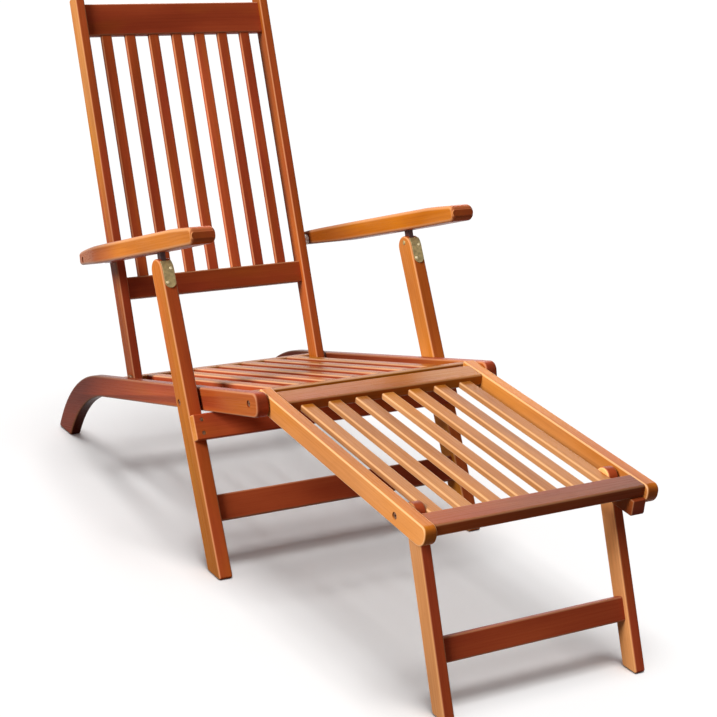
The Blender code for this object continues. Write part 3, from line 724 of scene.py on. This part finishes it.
def bend_point(depth, foot_y, lean):
    """Where the rail's edge at that depth meets the line of the rear leg's edge."""
    start, run, rise = axes("seat")
    begin = start + depth * rise
    lean = math.radians(lean)
    down = np.array([math.cos(lean), -math.sin(lean)])
    far = np.linalg.solve(np.stack([run, -down], 1), np.array([foot_y, 0.0]) - begin)
    return begin + far[0] * run


# The two edges of the rear leg: where they meet the floor, lean and curve
REAR_FOOT, REAR_LEAN, REAR_CURVE = (0.8175, 0.8849), (60.5, 62.9), (0.285, 0.315)
rail_front = reading("seat", FOOT_PIVOT)[0] - 0.0320
rail_outline = rounded(
    [
        on("seat", rail_front, -SEAT_RAIL_H),
        bend_point(-SEAT_RAIL_H, REAR_FOOT[0], REAR_LEAN[0]),
        (REAR_FOOT[0], 0.0),
        (REAR_FOOT[1], 0.0),
        bend_point(0.0, REAR_FOOT[1], REAR_LEAN[1]),
        on("seat", rail_front, 0.0),
    ],
    [0.017, REAR_CURVE[0], 0.005, 0.005, REAR_CURVE[1], 0.017],
    16,
)
holes = [
    (BACK_PIVOT, bore(SEAT_IN - PAST, SEAT_OUT - 0.006, PIN_R)),
    (LEG_PIVOT, bore(SEAT_IN + WOOD_LEFT, SEAT_OUT + PAST, BOLT_R)),
    (FOOT_PIVOT, counterbore(SEAT_IN, SEAT_OUT)),
]
names = ("bent_seat_rail", "seat_rail", "seat", "seat", "seat_rail")
sawn_pair(*names, rail_outline, (SEAT_IN, SEAT_OUT), SEAT_EASE, holes)
print("seat rail outline:", len(rail_outline), "points")

# %% [markdown]
# ## Slats and cross pieces
# Slats, rails and stretchers are all planed bars. A lengthwise bar runs along
# its line at a fixed x, and a cross bar runs along x at a fixed s. Only the
# four long edges are eased, because the ends butt against other timber.

# %% Bars along and across
SLATS = 7
SLAT_EASE, BAR_EASE = 0.0030, 0.0035


def cross_piece(name, node, body, line, board, half, reach, depth, ease=BAR_EASE):
    """Planed bar along x between timbers whose inner faces are at -half and half. It
    covers reach = (s0, s1) along the line and depth = (n0, n1) above it."""
    _, run, rise = axes(line)
    (s0, s1), (n0, n1) = reach, depth
    y, z = on(line, (s0 + s1) / 2, (n0 + n1) / 2)
    path = np.array([[GAP - half, y, z], [half - GAP, y, z]])
    bar = planed(path, [0, *run], [0, *rise], (s1 - s0) / 2, (n1 - n0) / 2, ease)
    wooden(name, bar, body, node, line, board, lengthwise=False)


def slats(group, line, reach, top, pitch, wide, thick):
    """A group's planed bars, side by side at an even pitch, a gap short of both ends of
    reach = (s0, s1)."""
    s0, s1, low = reach[0] + GAP, reach[1] - GAP, top - thick
    rise = axes(line)[2]
    path = np.zeros((2, 3))
    path[:, 1:] = on(line, [s0, s1], (low + top) / 2)
    for i in range(SLATS):
        path[:, 0] = (i - (SLATS - 1) / 2) * pitch
        bar = planed(path, [1, 0, 0], [0, *rise], wide / 2, (top - low) / 2, SLAT_EASE)
        wooden(f"{group}_board_{i + 1}", bar, group, f"{group}_slat_{i + 1}", line, line + "_slat")
    print(group, "slats run", round(1000 * (s1 - s0)), "mm")


SEAT_DROP = 0.0025
CROSS_W, CROSS_DEEP, CROSS_SET = 0.0280, 0.026, 0.026
cross_front = reading("seat", FOOT_PIVOT)[0] + CROSS_SET
cross_rear = reading("seat", BACK_PIVOT)[0] + CROSS_SET
for place, s0 in (("front", cross_front), ("rear", cross_rear)):
    names = (f"seat_cross_piece_{place}", f"seat_{place}_cross_rail", "seat", "seat", "seat_slat")
    depth = (-SEAT_DROP - CROSS_DEEP, -SEAT_DROP)
    cross_piece(*names, SEAT_IN, (s0, s0 + CROSS_W), depth, SLAT_EASE)
reach = (cross_front + CROSS_W, cross_rear)
slats("seat", "seat", reach, -SEAT_DROP, pitch=0.054, wide=0.027, thick=0.015)

# %% [markdown]
# ## Back frame
# Two stiles carry a broad top rail, a lower rail and seven slats. The rails are
# set back from the stiles' front faces, and the slats a little further.

# %% Back frame
STILE_IN, STILE_OUT, STILE_DEPTH = 0.2005, 0.2200, 0.0364
back_low = reading("back", BACK_PIVOT)[0] - 0.0195
BACK_TOP = 0.7077
radii = [0.0175, 0.006, 0.006, 0.0175]
stile_outline = box_outline("back", back_low, BACK_TOP, 0.0, -STILE_DEPTH, radii, 12)
holes = [
    (BACK_PIVOT, bore(STILE_IN + WOOD_LEFT, STILE_OUT + PAST, PIN_R)),
    (ARM_PIVOT, bore(STILE_IN + WOOD_LEFT, STILE_OUT + PAST, BOLT_R)),
]
names = ("stile", "back_stile", "back", "back", "stile")
sawn_pair(*names, stile_outline, (STILE_IN, STILE_OUT), SLAT_EASE, holes)

RAIL_SET_BACK, RAIL_THICK, SLAT_SET_BACK = 0.0105, 0.0180, 0.0024
LOWER_RAIL, TOP_RAIL = (0.0755, 0.1207), (0.6254, 0.6920)
for place, reach in (("lower", LOWER_RAIL), ("top", TOP_RAIL)):
    names = (f"{place}_rail_of_back", f"back_{place}_rail", "back", "back", "back_rail")
    depth = (-RAIL_SET_BACK - RAIL_THICK, -RAIL_SET_BACK)
    cross_piece(*names, STILE_IN, reach, depth)
reach, top = (LOWER_RAIL[1], TOP_RAIL[0]), -RAIL_SET_BACK - SLAT_SET_BACK
slats("back", "back", reach, top, pitch=0.0529, wide=0.0232, thick=0.010)

# %% [markdown]
# ## Front leg frame
# The legs lean back and are slotted at the top for the arm's tongue. The
# crossbar is screwed on the front faces and carries the seat's load when the
# chair is open. The stretcher below is tenoned between the legs.

# %% Front leg frame
LEG_IN, LEG_OUT, LEG_DEPTH = 0.2543, 0.2813, 0.0462
LEG_MIDDLE = (LEG_IN + LEG_OUT) / 2
SLOT_W, SLOT_DEEP = 0.0112, 0.012
tongue_s = reading("leg", TONGUE_PIVOT)[0]
leg_top = tongue_s + 0.0135
LEG_CORNER_R = 0.0250
foot_long = LEG_DEPTH / math.sin(math.radians(LINES["leg"][1]))
heads = on("leg", leg_top, [-LEG_DEPTH, 0.0])
leg_outline = rounded([(0, 0), (foot_long, 0), *heads], [0.004, 0.004, 0.0205, LEG_CORNER_R])


def chisel(outline, middle, half):
    """A cutter of that outline, reaching half its width to each side of x = middle."""
    return skin("chisel", sawn(outline, middle - half, middle + half, 0.0002)[0])


def slot_saw(sign):
    """The cutter for the tongue's slot."""
    return [chisel(slot, sign * LEG_MIDDLE, SLOT_W / 2)]


slot = box_outline("leg", tongue_s - SLOT_DEEP, leg_top + 0.02, -LEG_DEPTH - 0.02, 0.02, 0.001)
holes = [
    (LEG_PIVOT, counterbore(LEG_IN, LEG_OUT)),
    (TONGUE_PIVOT, bore(LEG_IN - PAST, LEG_OUT - 0.0027, PIN_R)),
]
names = ("leaning_leg", "front_leg", "front_legs", "leg", "leg")
sawn_pair(*names, leg_outline, (LEG_IN, LEG_OUT), BAR_EASE, holes, slot_saw)

CROSSBAR_S = (0.2537, 0.3014)
CROSSBAR_FACE = 0.0175
SCREW_R, SCREW_SINK = 0.0036, 0.0016
_, leg_run, leg_rise = axes("leg")
face_out, face_across = np.array([0, *leg_rise]), np.array([1.0, 0, 0])
face_along = np.cross(face_out, face_across)
SCREWS = [(sign * 0.2655, s) for _, sign in MIRROR for s in (0.2660, 0.2905)]


def rod(centre, radius, reaches):
    """Rings of a round rod square to the leg's face: a circle at each reach."""
    t = once_round(STUD_STEPS)[:, None]
    circle = radius * (np.cos(t) * face_across + np.sin(t) * face_along)
    return centre + circle[None] + np.asarray(reaches)[:, None, None] * face_out


sinks = []
for x, s in SCREWS:
    centre = np.array([x, *on("leg", s, CROSSBAR_FACE)])
    sinks.append(skin("screw_sink", rod(centre, SCREW_R + GAP, [-SCREW_SINK, PAST])))
bar = sawn(box_outline("leg", *CROSSBAR_S, GAP, CROSSBAR_FACE, 0.0032), -LEG_OUT, LEG_OUT, 0.0025)
wooden("screwed_crossbar", bar, "front_legs", "front_leg_crossbar", "leg", "crossbar", False, sinks)
STRETCHER_S, STRETCHER_N = (0.1060, 0.1544), (-0.030, -0.010)
names = ("lower_stretcher", "front_leg_stretcher", "front_legs", "leg", "stretcher")
cross_piece(*names, LEG_IN, STRETCHER_S, STRETCHER_N)
print("front leg length:", round(1000 * leg_top), "mm")

# %% [markdown]
# ## Arms
# An arm is a bar that is cranked in plan: from its rear pivot it slants outwards,
# then runs straight along the leg. It is slightly crowned, fullest in the middle
# and rounded off at both ends. A soft corner joins the two runs. The underside
# has a shallow relief for the leg's head and a mortise for the metal tongue.

# %% Arms
ARM_WIDTH = 0.0490
ARM_X_REAR, ARM_X_FRONT, ARM_CRANK = 0.2515, 0.2703, 0.1300
arm_bolt_s = reading("arm", ARM_PIVOT)[0]
arm_rear = arm_bolt_s - 0.0360
ARM_FRONT = 0.1870
arm_long = ARM_FRONT - arm_rear


def arm_middle(u):
    """x of the arm's middle line: a straight slant that a softplus turns level at the crank."""
    soft = 0.008
    past = (u - ARM_CRANK) / soft
    bent = ARM_CRANK + soft * (past - np.logaddexp(0.0, past))
    return ARM_X_REAR + (ARM_X_FRONT - ARM_X_REAR) * bent / ARM_CRANK


def arm_top(u):
    """Crown above the arm's line: climbs to 32 mm from the rear on an exponential, and
    dips by 4 mm at the front on a soft step."""
    return 0.0323 - 0.0055 * np.exp(-u / 0.055) - 0.0040 * soft_step((u - 0.50) / 0.12)


def arm_low(u):
    """Underside: sinks to 4.2 mm below the line on a soft step, and comes up 1 mm at the front."""
    return -0.0042 * soft_step(u / 0.17) + 0.0010 * soft_step((u - 0.46) / 0.14)


def nosing(u, length, least):
    """Share of the section left near a rounded end: a quarter ellipse of that length."""
    k = np.clip(1 - u / length, 0, 1)
    return np.maximum(least, np.sqrt(1 - k * k))


def arm_rings(sign):
    """Cranked bar: rounded rectangles whose width and depth follow the nosing at the
    ends, with the top lifted by up to 1.5 mm in the middle of its width."""
    fine = 0.014 * (1 - np.cos(np.linspace(0, math.pi / 2, 12)))
    u = np.concatenate([fine, np.linspace(0.016, arm_long - 0.016, 60), arm_long - fine[::-1]])
    depth = arm_top(u) - arm_low(u)
    end = np.minimum(nosing(u, 0.012, 0.30), nosing(arm_long - u, 0.014, 0.36))
    plan = np.minimum(nosing(u, 0.010, 0.78), nosing(arm_long - u, 0.004, 0.92))
    rise = axes("arm")[2]
    yz = on("arm", arm_rear + u, (arm_top(u) + arm_low(u)) / 2)
    path = np.concatenate([sign * arm_middle(u)[:, None], yz], 1)
    half_w, half_d = ARM_WIDTH / 2 * plan, depth / 2 * end
    ease = np.minimum(0.0065, half_d * 0.75)
    rings, worn_and_highlight = planed(path, [1, 0, 0], [0, *rise], half_w, half_d, ease)
    out = (rings[..., 0] - path[:, None, 0]) / (ARM_WIDTH / 2)
    high = (rings[..., 1:] - path[:, None, 1:]) @ rise > 0
    drop = 0.0016 * np.abs(out) ** 2.2 * high * end[:, None]
    rings = rings - drop[..., None] * np.array([0, *rise])
    # Painted highlight with wear: a pale band on the edges just short of both ends of the arm.
    tip = np.minimum(u, arm_long - u)
    end_wear_and_highlight = np.exp(-(((tip - 0.0022) / 0.0022) ** 2))
    return rings, np.maximum(worn_and_highlight, end_wear_and_highlight[:, None])


TONGUE_THICK, TONGUE_HALF, TONGUE_TOP = 0.0100, 0.0080, 0.0120
pin_s, pin_n = reading("arm", TONGUE_PIVOT)
snug = TONGUE_HALF + GAP
# Cuts in the underside, as reach behind and before the tongue, lower and upper n, half width
RELIEF = (0.036, 0.016, -0.030, -0.0030, (LEG_OUT - LEG_IN) / 2 + 0.0025)
MORTISE = (snug, snug, -0.007, TONGUE_TOP + GAP, TONGUE_THICK / 2 + GAP)
bolt_u = arm_bolt_s - arm_rear
arm_in = float(arm_middle(bolt_u)) - ARM_WIDTH / 2 + 0.0019
arm_out = float(arm_middle(bolt_u)) + ARM_WIDTH / 2
for side, sign in MIRROR:
    pocket = [(arm_in - 0.02, COLLAR_R + 0.001), (arm_in, COLLAR_R + 0.001)]
    hole = counterbore(arm_in, arm_out, 0.006)[1:]
    cutters = [drill(ARM_PIVOT, pocket + [(arm_in, BOLT_R + GAP)] + hole, sign)]
    for behind, before, low, high, wide in (RELIEF, MORTISE):
        outline = box_outline("arm", pin_s - behind, pin_s + before, low, high, 0.0004)
        cutters.append(chisel(outline, sign * LEG_MIDDLE, wide))
    name = "cranked_arm_" + side
    wooden(name, arm_rings(sign), "arm_" + side, "armrest_" + side, "arm", "arm", cutters=cutters)
print("arm length:", round(1000 * arm_long), "mm")

# %% [markdown]
# ## Footrest and its legs
# The footrest is a second small frame: two rails with rounded ends, a board
# across each end and seven slats that sit lower than the boards. Its legs
# have round heads that stand up behind the front board, and a block under the
# right corner stops them.

# %% Footrest
RAIL_IN, RAIL_OUT = 0.1999, 0.2230
FOOT_TOP, FOOT_BOTTOM = 0.0195, -0.0175
FOOT_REAR_END, FOOT_FRONT_END = -0.0140, 0.5345
radii = [0.004, 0.012, 0.022, 0.015]
side_outline = box_outline("foot", FOOT_REAR_END, FOOT_FRONT_END, FOOT_TOP, FOOT_BOTTOM, radii, 12)
holes = [
    (FOOT_PIVOT, bore(RAIL_IN + WOOD_LEFT, RAIL_OUT + PAST, BOLT_R)),
    (FOOT_LEG_PIVOT, counterbore(RAIL_IN, RAIL_OUT)),
]
names = ("footrest_side", "footrest_rail", "footrest", "foot", "foot_side")
sawn_pair(*names, side_outline, (RAIL_IN, RAIL_OUT), SLAT_EASE, holes)

BOARD_TOP, BOARD_T = FOOT_TOP - 0.0010, 0.0205
REAR_BOARD, FRONT_BOARD = (0.0045, 0.0520), (0.4835, 0.5260)
depth = (BOARD_TOP - BOARD_T, BOARD_TOP)
for place, reach in (("rear", REAR_BOARD), ("front", FRONT_BOARD)):
    names = (f"footrest_end_{place}", f"footrest_{place}_board", "footrest", "foot")
    cross_piece(*names, "foot_" + place, RAIL_IN, reach, depth)
reach, top = (REAR_BOARD[1], FRONT_BOARD[0]), BOARD_TOP - 0.0085
slats("footrest", "foot", reach, top, pitch=0.0542, wide=0.0249, thick=0.012)

FOOT_LEG_IN, FOOT_LEG_OUT, FOOT_LEG_DEPTH = 0.1755, 0.1955, 0.0341
tilt = math.radians(LINES["foot_leg"][1] - LINES["foot"][1])
BLOCK_LOW, BLOCK_FRONT, BLOCK_IN = -0.0300, 0.5340, 0.1735
block_n = np.array([BOARD_TOP - BOARD_T - GAP, BLOCK_LOW])
block_s = FOOT_LEG_AT + (FOOT_LEG_DEPTH / 2 + 2 * GAP - block_n * math.cos(tilt)) / math.sin(tilt)
block_outline = rounded(
    np.concatenate([on("foot", block_s, block_n), on("foot", BLOCK_FRONT, block_n[::-1])]),
    [0.0022, 0.0022, 0.0045, 0.0022],
    6,
)
rings = sawn(block_outline, BLOCK_IN, RAIL_IN - GAP, 0.002)
wooden("stopping_block", rings, "footrest", "footrest_stop_block", "foot", "foot_front", False)

leg_s, leg_n = reading("foot_leg", FOOT_LEG_PIVOT)
edges = np.array([leg_n + FOOT_LEG_DEPTH / 2, leg_n - FOOT_LEG_DEPTH / 2])
lean = math.radians(LINES["foot_leg"][1])
head_s = leg_s + FOOT_LEG_DEPTH / 2
feet = on("foot_leg", -edges / math.tan(lean), edges)
heads = on("foot_leg", head_s, edges[::-1])
foot_leg_outline = rounded([*feet, *heads], [0.004, 0.004, 0.0165, 0.0165])
holes = [(FOOT_LEG_PIVOT, bore(FOOT_LEG_IN + WOOD_LEFT, FOOT_LEG_OUT + PAST, BOLT_R))]
names = ("footrest_prop", "footrest_leg", "footrest_legs", "foot_leg", "foot_leg")
sawn_pair(*names, foot_leg_outline, (FOOT_LEG_IN, FOOT_LEG_OUT), SLAT_EASE, holes)
PROP_STRETCHER_S, PROP_STRETCHER_HALF = (0.0888, 0.1292), 0.009
names = ("footrest_prop_stretcher", "footrest_leg_stretcher", "footrest_legs", "foot_leg")
depth = (leg_n - PROP_STRETCHER_HALF, leg_n + PROP_STRETCHER_HALF)
cross_piece(*names, "stretcher", FOOT_LEG_IN, PROP_STRETCHER_S, depth)
print("footrest leg length:", round(1000 * head_s), "mm")

# %% [markdown]
# ## Bolts and pins
# Each pivot is a bolt with a broad spacing washer between its two timbers and a
# head that lies sunk in its counterbore. The head has a hexagon socket. On a
# turned surface that only means that the inner radius changes with the angle.

# %% Bolts and pins
def metal_piece(name, rings, body, node, material):
    """A skin of rings with a metal finish, in place of a node or as a new piece."""
    finish(skin(name, rings), body, node, material)


def socketed(centre, profile, side):
    """Turned rings that end in a hexagon socket: radius flats / 2 / cos(angle to the
    nearest flat), first at the face, then at the bottom, then closing to the middle."""
    flats, deep = 0.0044, 0.0024
    face = profile[-1][0]
    bottom = face - deep
    socket = [(face, flats / 2), (bottom, flats / 2), (bottom - 0.0003, 0.0006)]
    rings = round_rings(centre, profile + socket, side)
    swell = 1 / np.cos((once_round(ROUND_STEPS) + math.pi / 6) % (math.pi / 3) - math.pi / 6)
    rings[-3:-1, :, 1:] = centre + (rings[-3:-1, :, 1:] - centre) * swell[:, None]
    return rings


def washer_profile(collar, larger=0.0):
    """(x, r) over a washer's two eased edges, between the timbers at both ends of collar."""
    inner, outer, r = collar[0] + GAP - larger, collar[1] - GAP + larger, COLLAR_R + larger
    return [(inner, r - 0.0004), (inner + 0.0004, r), (outer - 0.0004, r), (outer, r - 0.0004)]


def bolt_profile(start, collar, head):
    """(x, r) from the buried end, over the washer, to the domed head. A pin has none."""
    shank = BOLT_R if head else PIN_R
    inner, outer = collar[0] + GAP, collar[1] - GAP
    points = [(start, shank - 0.0008), (start + 0.0008, shank), (inner, shank)]
    points += washer_profile(collar) + [(outer, shank)]
    if head is None:
        end = collar[1] + 0.0175
        return points + [(end - 0.0008, shank), (end, shank - 0.0008)]
    points += [(head - 0.005, shank), (head - 0.005, HEAD_R), (head - 0.0026, HEAD_R)]
    points += [(head - 0.0019, HEAD_R - 0.0004), (head - 0.0016, HEAD_R - 0.0012)]
    return points + [(head - 0.0015, HEAD_R - 0.0022)]


BOLTS = {
    "back_pivot_pin": ("seat", BACK_PIVOT, STILE_IN, (STILE_OUT, SEAT_IN), None),
    "leg_pivot_bolt": ("seat", LEG_PIVOT, SEAT_IN, (SEAT_OUT, LEG_IN), LEG_OUT),
    "arm_pivot_bolt": ("back", ARM_PIVOT, STILE_IN, (STILE_OUT, arm_in), arm_out - 0.0007),
    "footrest_pivot_bolt": ("seat", FOOT_PIVOT, RAIL_IN, (RAIL_OUT, SEAT_IN), SEAT_OUT),
    "footrest_leg_bolt": (
        "footrest", FOOT_LEG_PIVOT, FOOT_LEG_IN, (FOOT_LEG_OUT, RAIL_IN), RAIL_OUT
    ),
}
BURIED, SPACER_PROUD = 0.0045, 0.0001
for name, (body, centre, wood, collar, head) in BOLTS.items():
    profile = bolt_profile(wood + BURIED, collar, head)
    for side, sign in MIRROR:
        if head is None:
            rings = round_rings(centre, profile, sign)
        else:
            rings = socketed(centre, profile, sign)
        node = f"{name}_{side}"
        metal_piece("turned_" + node, rings, body, node, ZINC_PLATE)
        if name == "arm_pivot_bolt":
            rings = round_rings(centre, washer_profile(collar, SPACER_PROUD), sign)
            metal_piece(f"bright_spacer_{side}", rings, body, None, BRIGHT_ZINC)

PIN_HEAD_R = 0.0045
pin_dome = [(0.0015, 0.0012), (0.0013, 0.0026), (0.0009, 0.0038), (0.0003, PIN_HEAD_R)]
pin_profile = [(LEG_IN - x, r) for x, r in pin_dome + [(GAP, PIN_R)]]
pin_profile += [(LEG_OUT - 0.0038, PIN_R), (LEG_OUT - 0.0030, PIN_R - 0.0008)]
for side, sign in MIRROR:
    rings = round_rings(TONGUE_PIVOT, pin_profile, sign, 40)
    node = "hinge_pin_" + side
    metal_piece("riveted_pin_" + side, rings, "front_legs", node, DULL_BRASS)
print("bolts:", 2 * len(BOLTS), "pins: 2")

# %% [markdown]
# ## Brass straps and steel tongues
# A thin brass strap lies on the front of each leg top, follows the rounded
# corner and is riveted twice. It is a flat bar carried along that bent path,
# with its lower end rounded by narrowing the last stations. A near-black steel
# tongue is let into each arm. Its round lower end drops into the leg's slot, on the pin.

# %% Straps, rivets and tongues
STRAP_LOW, STRAP_W, STRAP_T, STRAP_BEND = 0.5400, 0.0220, 0.0016, 38
RIVETS = ((0.5765, 0.0055), (0.5504, -0.0055))  # s, and x from the strap's middle
RIVET_R, RIVET_HIGH, SCREW_HIGH, SCREW_SLOT = 0.0030, 0.0011, 0.0006, 0.0011
bend_s = leg_top - LEG_CORNER_R


def strap_rings(middle):
    """Flat bar up the leg's face and STRAP_BEND degrees round its corner. Near the
    lower end the half width follows a half circle."""
    half = STRAP_W / 2
    low = STRAP_LOW + half * (1 - np.cos(np.linspace(0.06, math.pi / 2, 14)))
    a = np.radians(np.linspace(0, STRAP_BEND, 10))
    r = LEG_CORNER_R + GAP + STRAP_T / 2
    s = np.concatenate([low, bend_s + r * np.sin(a)])
    n = np.concatenate([np.full(len(low), GAP + STRAP_T / 2), r * np.cos(a) - LEG_CORNER_R])
    wide = np.sqrt(np.clip(half**2 - np.clip(STRAP_LOW + half - s, 0, half) ** 2, 0, None))
    a = np.concatenate([np.zeros(len(low)), a])
    above = np.cos(a)[:, None] * leg_rise + np.sin(a)[:, None] * leg_run
    above = np.concatenate([np.zeros((len(a), 1)), above], 1)
    path = np.concatenate([np.full((len(s), 1), middle), on("leg", s, n)], 1)
    return planed(path, [1, 0, 0], above, wide, STRAP_T / 2, 0.0005)[0]


def stud_rings(centre, radius, high, slot_wide=0.0):
    """Low round head on the leg's face: radius r * sin(a) and height high * cos(a). A
    slot, where there is one, presses the middle strip of the head down."""
    a = np.linspace(math.pi / 2, 0.05, 9)[:, None]
    t = once_round(STUD_STEPS)
    r, h = radius * np.sin(a), high * np.cos(a)
    u, v = r * np.cos(t), r * np.sin(t)
    h = np.broadcast_to(h, u.shape)
    if slot_wide:
        h = np.where(np.abs(u) < slot_wide / 2, np.minimum(h, high * 0.25), h)
    head = centre + u[..., None] * face_across + v[..., None] * face_along + h[..., None] * face_out
    return np.concatenate([head[:1] - 0.0006 * face_out, head])


TONGUE_RADII = [0.00795, 0.00795, 0.0006, 0.0006]
s0, s1 = pin_s - TONGUE_HALF, pin_s + TONGUE_HALF
tongue_outline = box_outline("arm", s0, s1, pin_n - TONGUE_HALF, TONGUE_TOP, TONGUE_RADII, 14)
for side, sign in MIRROR:
    middle = sign * LEG_MIDDLE
    node = "hinge_strap_" + side
    rings = strap_rings(middle)
    metal_piece("brass_strap_" + side, rings, "front_legs", node, DULL_BRASS)
    for k, (s, x) in enumerate(RIVETS):
        centre = np.array([middle + x, *on("leg", s, GAP + STRAP_T)])
        rings = stud_rings(centre, RIVET_R, RIVET_HIGH)
        metal_piece(f"strap_rivet_{side}_{k + 1}", rings, "front_legs", None, PAINTED_GLINT_BRASS)
    half = TONGUE_THICK / 2
    rings = sawn(tongue_outline, middle - half, middle + half, 0.0006)[0]
    tongue = skin("steel_tongue_" + side, rings)
    cut_away(tongue, [drill(TONGUE_PIVOT, bore(LEG_IN, LEG_OUT, PIN_R), sign)])
    finish(tongue, "arm_" + side, "arm_bracket_" + side, NEAR_BLACK_METAL)
for k, (x, s) in enumerate(SCREWS):
    centre = np.array([x, *on("leg", s, CROSSBAR_FACE - SCREW_SINK + 0.0007)])
    rings = stud_rings(centre, SCREW_R, SCREW_HIGH, SCREW_SLOT)
    metal_piece(f"crossbar_screw_{k + 1}", rings, "front_legs", None, ZINC_PLATE)
print("straps, rivets, screws and tongues done")

# %% Size and finish
low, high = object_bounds()
print("dressed size in mm:", [round(1000 * (h - l), 1) for l, h in zip(low, high)])
